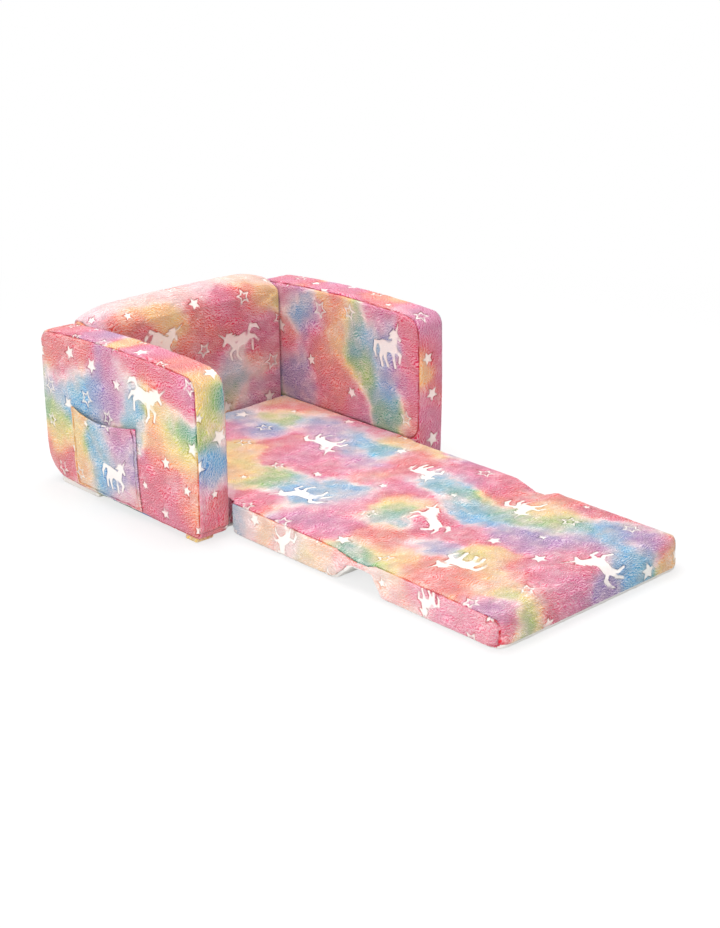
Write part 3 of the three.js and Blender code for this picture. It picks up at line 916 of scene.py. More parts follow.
@dataclass(frozen=True)
class PlushFinish:
    """Short brushed fleece with its dye and its pale flat print, with painted light and shade on its pile's
    ridges, a painted shadow round the print and dark seams that are partly painted shade.
    """

    name: str = "plush"
    sheen: float = 0.45
    sheen_roughness: float = 0.45
    specular: float = 0.12
    ridge_size: tuple[float, float] = (4.6 * MM, 3.0 * MM)
    tuft_size: tuple[float, float] = (3.6 * MM, 2.2 * MM)
    patch_size: float = 24 * MM
    # How the lay of the pile bends: the size of its lumps and how far it strays
    broad_sway: tuple[float, float] = (50 * MM, 38 * MM)
    fine_sway: tuple[float, float] = (11 * MM, 6 * MM)
    # How far on the ridge noise is read again, to paint light on one side of each ridge and shade on the
    # other
    lean: float = 0.34
    pile_depth: float = 3.0 * MM
    # How dark the roots go in the painted shade between ridges, and how pale the tips go in the painted
    # light, partly the pile's own paler tips
    root_depth: float = 0.85
    tip_paleness: float = 0.36
    print_colour: Colour = (0.965, 0.93, 0.90)
    # Colour of the pale tips: partly painted light, partly the pile's own paler tips
    tip_colour: Colour = (1.0, 0.93, 0.92)
    # Where the painted light on the ridges' lit sides gives pale tips, and where the painted shade on their
    # far sides gives dark roots
    standing: tuple[float, float] = (0.30, 0.70)
    shaded_roots: tuple[float, float] = (0.42, 0.22)
    # Where the print, the painted shadow round it and the dark seam line, partly painted shade, end, in
    # millimetres
    print_edge: tuple[float, float] = (0.9, -1.1)
    rim_shadow_edge: tuple[float, float] = (2.6, 1.0)
    seam_edge: tuple[float, float] = (3.0, 0.8)

    def build(self) -> bpy.types.Material:
        """Makes the material.

        Returns:
            The material.
        """
        tree = new_material(self.name)
        dye, printed, seam = tree.attribute("dye", "Color"), tree.attribute("print"), tree.attribute("seam")
        cloth = tree.node("ShaderNodeUVMap", {"uv_map": "Cloth"})
        swayed = self.swayed(tree, self.swayed(tree, cloth, *self.broad_sway), *self.fine_sway)
        ridge_lay = self.lay(tree, swayed, self.ridge_size)
        ridges = tree.noise(ridge_lay, 1.0, 2.0, 0.6)
        # Painted light and shade of the pile's ridges: the ridge noise read a little further on and taken
        # from itself is lighter on one side of each ridge and darker on the other, with random tufts mixed
        # in
        shift = {0: ridge_lay, 1: (0.10, self.lean, 0.0)}
        shifted = tree.node("ShaderNodeVectorMath", {"operation": "ADD"}, shift)
        beyond = tree.noise(shifted, 1.0, 2.0, 0.6)
        tufts = tree.noise(self.lay(tree, swayed, self.tuft_size), 1.3, 1.0, 0.5)
        patches = tree.noise(cloth, 1 / self.patch_size, 1.0, 0.5)
        painted_ridge_light = (ridges - beyond) * 1.7 + (tufts - 0.5) * 0.8 + 0.5
        # The first share gives pale tips where the painted light falls and also raises the bump; the second
        # is the painted shade on the ridges' far sides
        pile, painted_ridge_shade = painted_ridge_light.step(*self.standing), painted_ridge_light.step(*self.shaded_roots)
        ragged = printed + (tufts - 0.5) * 2.0 + (ridges - 0.5) * 2.2
        mask = ragged.step(*self.print_edge) * patches.step(0.22, 0.42)
        # A painted shadow of the pile's step along parts of each print's edge
        rim = ((ragged.step(*self.rim_shadow_edge) - mask) * patches.step(0.46, 0.56)).most(0.0)
        # The dark seam line: partly the seam's own dark joint, partly painted shade in its crease; it also
        # sinks the bump
        seam_line = seam.step(*self.seam_edge) * (0.6 + patches.step(0.42, 0.58))
        # Darker, more saturated roots in the painted shade and paler tips in the painted light; the tips'
        # paleness is partly the pile's own
        squared = tree.mix(1.0, dye, dye, "MULTIPLY")
        roots = tree.mix(self.root_depth, dye, squared)
        tips = tree.mix(self.tip_paleness * pile, dye, tree.solid(self.tip_colour))
        fleece = tree.mix((0.85 * painted_ridge_shade + (1 - pile) * 0.3).least(1.0), tips, roots)
        # Colour of the painted shadow round prints and of the dark seam line
        dark_seam_and_shadow = tree.mix(1.0, squared, dye, "MULTIPLY")
        fleece = tree.mix((0.9 * rim + 0.75 * seam_line).least(1.0), fleece, dark_seam_and_shadow)
        flat = tree.mix((tufts - 0.5) * 0.4 + 0.12, tree.solid(self.print_colour), dye)
        raised = (1 - mask) * (0.35 + 0.4 * ridges + 0.4 * pile)
        height = raised - 0.5 * seam_line + mask * (0.1 * tufts)
        return tree.surface(
            {
                "Base Color": tree.mix(mask, fleece, flat),
                "Roughness": 0.96 - 0.18 * mask,
                "Normal": tree.bump(height, 1.0, self.pile_depth),
                "Sheen Weight": self.sheen,
                "Sheen Roughness": self.sheen_roughness,
                "Specular IOR Level": self.specular,
            }
        )

    @staticmethod
    def lay(tree: Tree, place: Socket, size: tuple[float, float]) -> Socket:
        """Coordinates in lumps of pile of a length and a width."""
        return tree.scaled(place, (1 / size[0], 1 / size[1], 1.0))

    @staticmethod
    def swayed(tree: Tree, place: Socket, lump: float, reach: float) -> Socket:
        """Bends the lay of the pile by smooth noise.

        Args:
            tree: The node tree.
            place: Cloth coordinates.
            lump: Size of the noise's lumps.
            reach: How far it moves the pile.

        Returns:
            The moved coordinates.
        """
        inputs = {"Vector": place, "Scale": 1 / lump, "Detail": 1.0}
        sway = tree.node("ShaderNodeTexNoise", None, inputs, output="Color")
        moved = {0: sway, 1: (reach, reach, 0.0), 2: place}
        return tree.node("ShaderNodeVectorMath", {"operation": "MULTIPLY_ADD"}, moved)


@dataclass(frozen=True)
class ClothFinish:
    """Plain woven cloth."""

    name: str
    colour: Colour
    thread: float = 0.9 * MM
    roughness: float = 0.85
    sheen: float = 0.15
    wear_size: float = 0.06
    relief: float = 0.3 * MM

    def build(self) -> bpy.types.Material:
        """Makes the material.

        Returns:
            The material.
        """
        tree = new_material(self.name)
        place = tree.place()
        turns = math.tau / (2 * self.thread)
        x = tree.node("ShaderNodeSeparateXYZ", None, {0: place})
        weave = (x * turns).sine() * ((x.beside(1) + x.beside(2)) * turns).sine()
        wear = tree.noise(place, 1 / self.wear_size, 3.0)
        thread = tree.noise(place, 1 / (2 * self.thread), 2.0)
        shade = 0.95 + 0.05 * weave + (wear - 0.5) * 0.10 + (thread - 0.5) * 0.10
        return tree.surface(
            {
                "Base Color": tree.tinted(self.colour, shade),
                "Roughness": self.roughness,
                "Normal": tree.bump(weave * 0.5 + thread, 0.4, self.relief),
                "Sheen Weight": self.sheen,
            }
        )


@dataclass(frozen=True)
class FoamFinish:
    """Open-cell foam with fine pores."""

    name: str = "foam"
    colour: Colour = (0.95, 0.92, 0.80)
    roughness: float = 0.95
    pore_size: float = 1.6 * MM
    cloud_size: float = 0.05
    relief: float = 0.5 * MM

    def build(self) -> bpy.types.Material:
        """Makes the material.

        Returns:
            The material.
        """
        tree = new_material(self.name)
        place = tree.place()
        inputs = {"Vector": place, "Scale": 1 / self.pore_size}
        pores = tree.node("ShaderNodeTexVoronoi", {"feature": "F1"}, inputs)
        shade = 0.80 + 0.16 * pores + (tree.noise(place, 1 / self.cloud_size, 3.0) - 0.5) * 0.12
        return tree.surface(
            {
                "Base Color": tree.tinted(self.colour, shade),
                "Roughness": self.roughness,
                "Normal": tree.bump(pores, 0.5, self.relief),
            }
        )


@dataclass(frozen=True)
class HardFinish:
    """Moulded nylon or cast metal, rubbed a little by use."""

    name: str
    colour: Colour
    roughness: float
    metallic: float = 0.0
    rub_size: float = 4 * MM
    relief: float = 0.2 * MM

    def build(self) -> bpy.types.Material:
        """Makes the material.

        Returns:
            The material.
        """
        tree = new_material(self.name)
        rub = tree.noise(tree.place(), 1 / self.rub_size, 4.0, 0.6)
        return tree.surface(
            {
                "Base Color": tree.tinted(self.colour, 0.92 + (rub - 0.5) * 0.22),
                "Roughness": self.roughness + (rub - 0.5) * 0.25,
                "Metallic": self.metallic,
                "Normal": tree.bump(rub, 0.2, self.relief),
            }
        )


class Finishes:
    """The sofa's materials, made once."""

    def __init__(self) -> None:
        """Builds them all."""
        self.plush = PlushFinish().build()
        self.base_cloth = ClothFinish("base_cloth", (0.93, 0.92, 0.90)).build()
        self.foam = FoamFinish().build()
        self.zip_tape = ClothFinish("zip_tape", (0.87, 0.58, 0.66), 0.7 * MM).build()
        self.zip_teeth = HardFinish("zip_teeth", (0.90, 0.66, 0.72), 0.45).build()
        self.zip_metal = HardFinish("zip_metal", (0.78, 0.78, 0.80), 0.32, 1.0).build()


@dataclass
class Cushion:
    """A foam block in a sewn plush cover, seen from its profile along X."""

    name: str
    nodes: tuple[str, ...]
    low_x: float
    high_x: float
    corners: tuple[Corner, ...]
    panels: tuple[Panel, ...]
    seed: int
    body: str = "sofa"
    edge: float = 6.5 * MM
    voxel: float = 5 * MM
    fill: float = 0.85
    seam_depth: float = 2.4 * MM
    seam_width: float = 2.6 * MM
    seam_reach: float = 14 * MM
    gather_height: float = 0.55 * MM
    gather_place: float = 11 * MM
    gather_width: float = 9 * MM
    gather_size: float = 15 * MM
    print_depth: float = 1.3 * MM
    pile_height: float = 0.40 * MM
    pile_size: float = 9 * MM
    lump_height: float = 0.9 * MM
    lump_size: float = 70 * MM
    lump_gap: float = 5 * MM
    still: float = 0.2 * MM
    pressure: float = 4.0
    frames: int = 20

    SEAM_INSET = 2.0 * MM
    HELD_BELOW = 0.4 * MM
    STUFFING = {
        "quality": 4, "mass": 0.25, "tension_stiffness": 12, "compression_stiffness": 12,
        "shear_stiffness": 6, "bending_stiffness": 0.6, "use_pressure": True,
    }

    def __post_init__(self) -> None:
        """Prepares the outline and the noise."""
        self.outline = Outline(self.corners)
        self.clouds = Clouds(self.seed)

    def shaped(self, rest: Array) -> Array:
        """Gives the plain block its arches and drops.

        Args:
            rest: Places on the plain block.

        Returns:
            Places on the shaped block.
        """
        return rest.copy()

    def swell(self, rest: Array) -> Array:
        """How far the stuffing may push each place out.

        Args:
            rest: Places on the plain block.

        Returns:
            One length for each.
        """
        raise NotImplementedError

    def panel_of(self, centres: Array) -> Array:
        """Which panel each face belongs to.

        Args:
            centres: The faces' middles on the plain block.

        Returns:
            Their numbers in panels.
        """
        raise NotImplementedError

    def cloth(self, number: int, rest: Array) -> Array:
        """A panel's own two coordinates.

        Args:
            number: The panel's number in panels.
            rest: Places on the plain block.

        Returns:
            Places on the panel.
        """
        raise NotImplementedError

    def seams(self, rest: Array) -> Array:
        """Distance in metres from places to the nearest seam."""
        return self.side_seams(rest)

    def folds(self, rest: Array) -> Array:
        """Extra wrinkles of the cover, outward in metres."""
        return np.zeros(len(rest))

    def settled(self, places: Array, rest: Array) -> Array:
        """Keeps the finished cover's underside off the floor."""
        places[:, 2] = np.maximum(places[:, 2], self.corners[0].z)
        return places

    def attach(self, piece: Piece) -> None:
        """Hands the piece to its body."""
        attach(piece, self.body)

    def to_end(self, rest: Array) -> Array:
        """Distance from places to the nearer end of the block."""
        return np.minimum(rest[:, 0] - self.low_x, self.high_x - rest[:, 0])

    def side_seams(self, rest: Array, low: Outline | None = None, high: Outline | None = None) -> Array:
        """Distance to the seams that join the two side panels to the strip between them.

        Args:
            rest: Places on the plain block.
            low: The seam's line on the low side, where it isn't the profile.
            high: The same on the high side.

        Returns:
            One distance for each place.
        """
        distances = []
        for face, outline in ((self.low_x, low or self.outline), (self.high_x, high or self.outline)):
            _, inset = outline.locate(rest)
            depth = np.maximum(np.abs(rest[:, 0] - face) - self.SEAM_INSET, 0)
            distances.append(np.hypot(depth, inset - self.SEAM_INSET))
        return np.minimum(*distances)

    def build(self, finishes: Finishes) -> Piece:
        """Makes the cushion, dresses it and hands it to its body.

        Args:
            finishes: The sofa's materials.

        Returns:
            The piece.
        """
        form = profile_form(self.corners, self.low_x, self.high_x, self.edge)
        piece = new_piece(self.name, form)
        remesh = piece.modifiers.new("even quads", "REMESH")
        remesh.mode = "VOXEL"
        remesh.voxel_size = self.voxel
        mesh = baked(piece)
        rest = get_vectors(mesh.vertices)
        store = mesh.attributes.new("rest", "FLOAT_VECTOR", "POINT")
        store.data.foreach_set("vector", rest.astype(np.float32).ravel())
        start = self.shaped(rest)
        set_places(mesh, start)
        set_places(mesh, self._blown_up(piece, rest, start))
        smooth = piece.modifiers.new("finer", "SUBSURF")
        smooth.levels = smooth.render_levels = 1
        self._dress(baked(piece), finishes)
        self.attach(piece)
        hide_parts(*self.nodes)
        return piece

    def _blown_up(self, piece: Piece, rest: Array, start: Array) -> Array:
        """Swells the cover between its held seams.

        Args:
            piece: The block, with an even mesh.
            rest: Its plain places.
            start: Its shaped places.

        Returns:
            The swollen places.
        """
        room = self.swell(rest) * (1 - bell(self.seams(rest), self.seam_reach))
        held = piece.vertex_groups.new(name="held")
        held.add(np.flatnonzero(room < self.HELD_BELOW).tolist(), 1.0, "REPLACE")
        cloth = piece.modifiers.new("stuffing", "CLOTH")
        for name, value in self.STUFFING.items():
            setattr(cloth.settings, name, value)
        cloth.settings.uniform_pressure_force = self.pressure
        cloth.settings.effector_weights.gravity = 0
        cloth.settings.vertex_group_mass = held.name
        cloth.collision_settings.use_collision = False
        cloth.collision_settings.use_self_collision = False
        cloth.point_cache.frame_start = 1
        cloth.point_cache.frame_end = self.frames
        for step in range(1, self.frames + 1):
            bpy.context.scene.frame_set(step)
        swollen = piece.evaluated_get(bpy.context.evaluated_depsgraph_get())
        grown = get_vectors(swollen.to_mesh().vertices)
        swollen.to_mesh_clear()
        piece.modifiers.remove(cloth)
        piece.vertex_groups.clear()
        bpy.context.scene.frame_set(1)
        move = grown - start
        size = np.maximum(np.linalg.norm(move, axis=1), 1e-9)
        capped = room * np.tanh(size / np.maximum(room, 1e-6))
        return start + move * (capped / size)[:, None]

    def _dress(self, mesh: Mesh, finishes: Finishes) -> None:
        """Dyes and prints the panels, then presses seams, prints and pile into the mesh.

        Args:
            mesh: The finished mesh, with its plain places as an attribute.
            finishes: The sofa's materials.
        """
        rest = get_vectors(mesh.attributes["rest"].data, "vector")
        seam = self.seams(rest)
        corner_vertex, sides = corner_lists(mesh)
        starts = np.concatenate(((0,), np.cumsum(sides)[:-1]))
        centres = np.add.reduceat(rest[corner_vertex], starts) / sides[:, None]
        face_panel = self.panel_of(centres)
        printed = paint_plush(mesh, self.panels, self.cloth, self.clouds, rest, face_panel, seam)
        mesh.materials.append(finishes.plush)
        mesh.materials.append(finishes.base_cloth)
        bare = np.array([panel.bare for panel in self.panels])
        mesh.polygons.foreach_set("material_index", bare[face_panel].astype(np.int32))
        relief = self._relief(rest, seam, printed)[:, None]
        places = get_vectors(mesh.vertices) + get_vectors(mesh.vertex_normals, "vector") * relief
        set_places(mesh, self.settled(places, rest))
        mesh.attributes.remove(mesh.attributes["rest"])
        mesh.shade_smooth()

    def _relief(self, rest: Array, seam: Array, printed: Array) -> Array:
        """Outward relief of the cover: seams, puckers, flat prints and lumps of pile.

        Args:
            rest: Places on the plain block.
            seam: Their distance from the nearest seam.
            printed: Their distance from the nearest print in millimetres.

        Returns:
            One height for each, in metres.
        """
        groove = -self.seam_depth * bell(seam, self.seam_width)
        beside = self.gather_height * bell(seam - self.gather_place, self.gather_width)
        gathers = beside * self.clouds.at(rest, self.gather_size)
        flat = -self.print_depth * smooth_share(-printed, -2.2, 1.0)
        pile = self.pile_height * self.clouds.at(rest, self.pile_size)
        lumps = pile + self.lump_height * self.clouds.at(rest + 4.0, self.lump_size)
        lumps *= 1 - bell(seam, self.lump_gap)
        return groove + gathers + flat + lumps + self.folds(rest)


@dataclass
class Arm(Cushion):
    """An arm: two flat side panels and a boxing strip that runs round between them."""

    outward: int = -1
    top_arch: float = 11 * MM
    rear_bow: float = 5 * MM
    front_bow: float = 3 * MM
    inner_corner_cut: float = 7 * MM
    inner_corner_reach: float = 26 * MM
    inner_seam_foot: float = 62 * MM
    inner_seam_turn: float = 34 * MM
    outer_swell: float = 5.0 * MM
    inner_swell: float = 0.9 * MM
    boxing_swell: float = 1.2 * MM
    foot: float = 4 * MM

    OUTER, INNER, BOXING = range(3)

    def __post_init__(self) -> None:
        """Adds the inner panel's own seam line, which turns back above the seat."""
        super().__post_init__()
        toe, heel, rear_top, front_top = self.corners
        turns = [Corner(end.y, self.inner_seam_foot, self.inner_seam_turn) for end in (toe, heel)]
        self.inner_outline = Outline((*turns, rear_top, front_top))
        faces = (self.low_x, self.high_x)
        self.outer_x, self.inner_x = faces if self.outward < 0 else faces[::-1]

    def shaped(self, rest: Array) -> Array:
        """Arches the top, bows the rear and the front, and rounds the inner top corner more.

        Args:
            rest: Places on the plain block.

        Returns:
            Places on the shaped block.
        """
        toe, heel, _, front_top = self.corners
        y, z = rest[:, 1], rest[:, 2]
        along = np.clip((y - toe.y) / (heel.y - toe.y), 0, 1)
        up = np.clip((z - toe.z) / (front_top.z - toe.z), 0, 1)
        places = rest.copy()
        places[:, 2] += self.top_arch * hump(along) * smooth_share(up, 0.35, 1.0)
        places[:, 1] += self.rear_bow * hump(up) * smooth_share(along, 0.6, 1.0)
        places[:, 1] -= self.front_bow * hump(up) * smooth_share(along, 0.4, 0.0)
        inward = 1 - np.clip(np.abs(rest[:, 0] - self.inner_x) / (self.high_x - self.low_x), 0, 1)
        corner = bell(np.hypot(y - toe.y, z - front_top.z), self.inner_corner_reach)
        cut = self.inner_corner_cut * inward * corner * math.sqrt(0.5)
        places[:, 1] += cut
        places[:, 2] -= cut
        return places

    def swell(self, rest: Array) -> Array:
        """Lets the outer panel swell most and the inner one least.

        Args:
            rest: Places on the plain block.

        Returns:
            One length for each.
        """
        room = np.full(len(rest), self.boxing_swell)
        room[np.abs(rest[:, 0] - self.outer_x) < self.edge] = self.outer_swell
        room[np.abs(rest[:, 0] - self.inner_x) < self.edge] = self.inner_swell
        room[rest[:, 2] < self.corners[0].z + self.foot] = self.still
        return room

    def panel_of(self, centres: Array) -> Array:
        """Splits the faces at the two side seams.

        Args:
            centres: The faces' middles on the plain block.

        Returns:
            Their numbers in panels.
        """
        panel = np.full(len(centres), self.BOXING)
        _, inset = self.outline.locate(centres)
        _, inner_inset = self.inner_outline.locate(centres)
        panel[np.abs(centres[:, 0] - self.outer_x) < inset] = self.OUTER
        depth = np.abs(centres[:, 0] - self.inner_x)
        panel[(depth < inner_inset) & (depth < (self.high_x - self.low_x) / 2)] = self.INNER
        return panel

    def cloth(self, number: int, rest: Array) -> Array:
        """Side panels by Y and Z, the boxing by its way round and X.

        Args:
            number: The panel's number in panels.
            rest: Places on the plain block.

        Returns:
            Places on the panel.
        """
        if number != self.BOXING:
            return rest[:, 1:]
        return np.column_stack((self.outline.locate(rest)[0], rest[:, 0]))

    def seams(self, rest: Array) -> Array:
        """Both side seams."""
        lines = (self.outline, self.inner_outline)
        return self.side_seams(rest, *(lines if self.outward < 0 else lines[::-1]))


@dataclass
class Gusseted(Cushion):
    """A cushion with a main panel, a second one and a gusset at each end."""

    MAIN, SECOND, LEFT, RIGHT = range(4)
    SECOND_AXES = (0, 1)

    def on_second(self, centres: Array) -> Array:
        """Tells which faces between the gussets belong to the second panel."""
        raise NotImplementedError

    def main_cloth(self, rest: Array) -> Array:
        """The main panel's two coordinates at places on the block."""
        raise NotImplementedError

    def panel_of(self, centres: Array) -> Array:
        """Gussets by the end faces, then the main and the second panel.

        Args:
            centres: The faces' middles on the plain block.

        Returns:
            Their numbers in panels.
        """
        _, inset = self.outline.locate(centres)
        panel = np.where(self.on_second(centres), self.SECOND, self.MAIN)
        panel[centres[:, 0] - self.low_x < inset] = self.LEFT
        panel[self.high_x - centres[:, 0] < inset] = self.RIGHT
        return panel

    def cloth(self, number: int, rest: Array) -> Array:
        """The main panel by its own rule, the second by two axes and the gussets by Y and Z.

        Args:
            number: The panel's number in panels.
            rest: Places on the plain block.

        Returns:
            Places on the panel.
        """
        if number == self.SECOND:
            return rest[:, self.SECOND_AXES]
        return self.main_cloth(rest) if number == self.MAIN else rest[:, 1:]


@dataclass
class Back(Gusseted):
    """The back: one panel up its front and over its top, a rear panel and two end gussets."""

    arch: float = 6 * MM
    zip_height: float = 44 * MM
    zip_bed: float = 1.2 * MM
    end_drop: float = 19 * MM
    end_round: float = 85 * MM
    rear_seam_inset: float = 3.5 * MM
    cover_swell: float = 3.5 * MM
    # The front's swell where the folded cushion leans on it, and what it gains above
    front_swell: tuple[float, float] = (0.3 * MM, 4.2 * MM)
    front_depth: float = 8 * MM
    foot: float = 12 * MM
    end_depth: float = 4 * MM
    bed_reach: tuple[float, float] = (24 * MM, 13 * MM)

    SECOND_AXES = (0, 2)

    def __post_init__(self) -> None:
        """Places the rear seam."""
        super().__post_init__()
        self.rear_seam = self.corners[1].y - self.rear_seam_inset

    def shaped(self, rest: Array) -> Array:
        """Arches the crest and rounds its two ends down to the arms.

        Args:
            rest: Places on the plain block.

        Returns:
            Places on the shaped block.
        """
        across = (rest[:, 0] - self.low_x) / (self.high_x - self.low_x)
        drop = self.end_drop * (1 - np.clip(self.to_end(rest) / self.end_round, 0, 1)) ** 2
        rise = self.arch * hump(np.clip(across, 0, 1)) - drop
        places = rest.copy()
        places[:, 2] += rise * smooth_share(rest[:, 2], 0.18, 0.33)
        return places

    def swell(self, rest: Array) -> Array:
        """Lets the cover swell, but keeps it flat where the folded cushion leans on its front.

        Args:
            rest: Places on the plain block.

        Returns:
            One length for each.
        """
        room = np.full(len(rest), self.cover_swell)
        front = rest[:, 1] < self.corners[0].y + self.front_depth
        least, gain = self.front_swell
        room[front] = least + gain * smooth_share(rest[front, 2], 0.18, 0.24)
        room[(rest[:, 2] < self.foot) | (self.to_end(rest) < self.end_depth)] = self.still
        return room

    def on_second(self, centres: Array) -> Array:
        """The rear panel starts at the rear seam."""
        return centres[:, 1] > self.rear_seam

    def main_cloth(self, rest: Array) -> Array:
        """The front by X and its way up the profile.

        Args:
            rest: Places on the plain block.

        Returns:
            Places on the panel.
        """
        toe = self.corners[0]
        way = self.outline.locate(rest)[0]
        return np.column_stack((rest[:, 0], toe.z + toe.radius + self.outline.lengths.sum() - way))

    def seams(self, rest: Array) -> Array:
        """The end seams, and the rear seam over the top."""
        top = np.where(rest[:, 2] > 0.2, np.abs(rest[:, 1] - self.rear_seam), 1.0)
        return np.minimum(self.side_seams(rest), top)

    def settled(self, places: Array, rest: Array) -> Array:
        """Also lays a flat bed for the zip.

        Args:
            places: Places on the finished cover.
            rest: The same on the plain block.

        Returns:
            The settled places.
        """
        places = super().settled(places, rest)
        bed = smooth_share(np.abs(rest[:, 2] - self.zip_height), *self.bed_reach)
        bed *= rest[:, 1] > self.rear_seam
        places[:, 1] += (self.corners[1].y + self.zip_bed - places[:, 1]) * bed
        return places


@dataclass
class Seat(Gusseted):
    """The fixed seat: plush over its top, gussets at its sides and cloth under it."""

    top_swell: float = 3.0 * MM
    top_depth: float = 3 * MM
    rising: tuple[float, float] = (8 * MM, 90 * MM)
    base_edge: float = 7 * MM

    def swell(self, rest: Array) -> Array:
        """Only the top may rise.

        Args:
            rest: Places on the plain block.

        Returns:
            One length for each.
        """
        room = np.full(len(rest), self.still)
        top = rest[:, 2] > self.corners[2].z - self.top_depth
        from_front = rest[top, 1] - self.corners[0].y
        room[top] = self.top_swell * smooth_share(from_front, *self.rising)
        return room

    def on_second(self, centres: Array) -> Array:
        """The base lies below the top cloth's edge."""
        return centres[:, 2] < self.corners[0].z + self.base_edge

    def main_cloth(self, rest: Array) -> Array:
        """The top by X and its way over the two ends.

        Args:
            rest: Places on the plain block.

        Returns:
            Places on the panel.
        """
        rear, front = self.corners[2], self.corners[3]
        down = np.maximum(front.z - rest[:, 2], 0)
        end = np.where(rest[:, 1] < (front.y + rear.y) / 2, -1, 1)
        return np.column_stack((rest[:, 0], rest[:, 1] + down * end))


@dataclass
class Lounger(Gusseted):
    """The folding cushion: two foam sections in one cover that is drawn in between them."""

    waist_y: float = 0.0
    waist_z: float = 46 * MM
    waist_draw: float = 5 * MM
    waist_reach: float = 34 * MM
    front_y: float = 0.0
    nose_draw: float = 10 * MM
    nose_reach: float = 30 * MM
    base_seam: float = 7 * MM
    side_swell: float = 1.4 * MM
    crown: float = 4.2 * MM
    top_swell: float = 0.8 * MM
    top_height: float = 50 * MM
    still: float = 0.15 * MM
    # Between which distances from the waist, and from the crease, the crown rises
    waist_rise: tuple[float, float] = (20 * MM, 120 * MM)
    crease_rise: tuple[float, float] = (8 * MM, 90 * MM)
    notch_reach: float = 75 * MM
    wrinkle_height: float = 1.5 * MM
    wrinkle_depth: float = 30 * MM
    wrinkle_size: float = 40 * MM
    # How far from the waist the wrinkles lie, and over what width
    wrinkle_ring: tuple[float, float] = (42 * MM, 26 * MM)
    far_body: str = "end_section"
    fold: tuple[float, float] = (0.0, 0.0)

    def attach(self, piece: Piece) -> None:
        """Bakes the cover's placement into its mesh, without handing it to a body."""
        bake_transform(piece)

    def shaped(self, rest: Array) -> Array:
        """Draws the sides in at the waist and at the front corners.

        Args:
            rest: Places on the plain block.

        Returns:
            Places on the shaped block.
        """
        places = rest.copy()
        side = np.sign(rest[:, 0]) * smooth_share(np.abs(rest[:, 0]), 0.15, 0.247)
        waist = bell(rest[:, 1] - self.waist_y, self.waist_reach)
        from_front = np.maximum(rest[:, 1] - self.front_y, 0)
        nose = (1 - np.clip(from_front / self.nose_reach, 0, 1)) ** 2
        places[:, 0] -= side * (self.waist_draw * waist + self.nose_draw * nose)
        corner = (1 - np.clip(self.to_end(rest) / self.nose_reach, 0, 1)) ** 2
        places[:, 1] += self.nose_draw * corner * smooth_share(from_front, self.nose_reach, 0.0)
        return places

    def swell(self, rest: Array) -> Array:
        """Crowns the top of each section, and the sides and the front a little.

        Args:
            rest: Places on the plain block.

        Returns:
            One length for each.
        """
        room = np.full(len(rest), self.side_swell)
        crease = self.corners[1].y
        level = smooth_share(np.abs(rest[:, 1] - self.waist_y), *self.waist_rise)
        level *= smooth_share(crease - rest[:, 1], *self.crease_rise)
        top = rest[:, 2] > self.top_height
        room[top] = (self.top_swell + self.crown * level)[top]
        room[(rest[:, 2] < 3 * MM) | (rest[:, 1] > crease - 4 * MM)] = self.still
        return room

    def on_second(self, centres: Array) -> Array:
        """The base takes in the underside and the notch."""
        notch = np.abs(centres[:, 1] - self.waist_y) < self.notch_reach
        return (centres[:, 2] < self.base_seam) | (notch & (centres[:, 2] < self.waist_z - 6 * MM))

    def main_cloth(self, rest: Array) -> Array:
        """The top by X and its way over the nose and the rear.

        Args:
            rest: Places on the plain block.

        Returns:
            Places on the panel.
        """
        nose = min(self.corners, key=lambda corner: corner.y - corner.z)
        heel = self.corners[2]
        over = np.maximum(nose.z - rest[:, 2], 0) * (rest[:, 1] < nose.y + nose.radius)
        down = np.maximum(heel.z - rest[:, 2], 0) * (rest[:, 1] > heel.y - 6 * MM)
        return np.column_stack((rest[:, 0], rest[:, 1] - over + down))

    def seams(self, rest: Array) -> Array:
        """The gusset seams, and the base seam across the front.

        Args:
            rest: Places on the plain block.

        Returns:
            One distance for each.
        """
        nose = rest[:, 1] < self.front_y + self.nose_reach
        base = np.where(nose, np.abs(rest[:, 2] - self.base_seam), 1.0)
        return np.minimum(self.side_seams(rest), base)

    def folds(self, rest: Array) -> Array:
        """Wrinkles that run out from the waist over the gussets and the top's edges.

        Args:
            rest: Places on the plain block.

        Returns:
            One height for each.
        """
        dy, dz = rest[:, 1] - self.waist_y, rest[:, 2] - self.waist_z
        away, width = self.wrinkle_ring
        ring = bell(np.hypot(dy, dz) - away, width)
        rays = np.cos(14 * np.arctan2(dz, dy) + 2.5 * self.clouds.at(rest, self.wrinkle_size))
        return self.wrinkle_height * bell(self.to_end(rest), self.wrinkle_depth) * ring * rays


# Dye patches of each panel that shows, in metres on the panel: side panels by Y and Z
NEAR_OUTER_SPOTS = spots(
    {
        Dye.ROSE: (
            (0.50, 0.26), (0.29, 0.32), (0.17, 0.30), (0.54, 0.04), (0.18, 0.11), (0.22, 0.05),
            (0.13, 0.03),
        ),
        Dye.CORAL: ((0.53, 0.31), (0.44, 0.29, 0.9)),
        Dye.PEACH: ((0.55, 0.10), (0.19, 0.19), (0.10, 0.10, 0.8)),
        Dye.YELLOW: ((0.12, 0.17),),
        Dye.GREEN: ((0.54, 0.14, 0.8), (0.18, 0.23, 0.9)),
        Dye.TEAL: ((0.58, 0.17), (0.11, 0.23, 0.8)),
        Dye.SKY: ((0.47, 0.21), (0.30, 0.28, 0.8), (0.27, 0.20)),
        Dye.PERIWINKLE: ((0.53, 0.20, 0.8), (0.40, 0.22, 0.9)),
        Dye.LAVENDER: ((0.37, 0.29, 0.7), (0.34, 0.24)),
        Dye.PINK: ((0.10, 0.29),),
    }
)
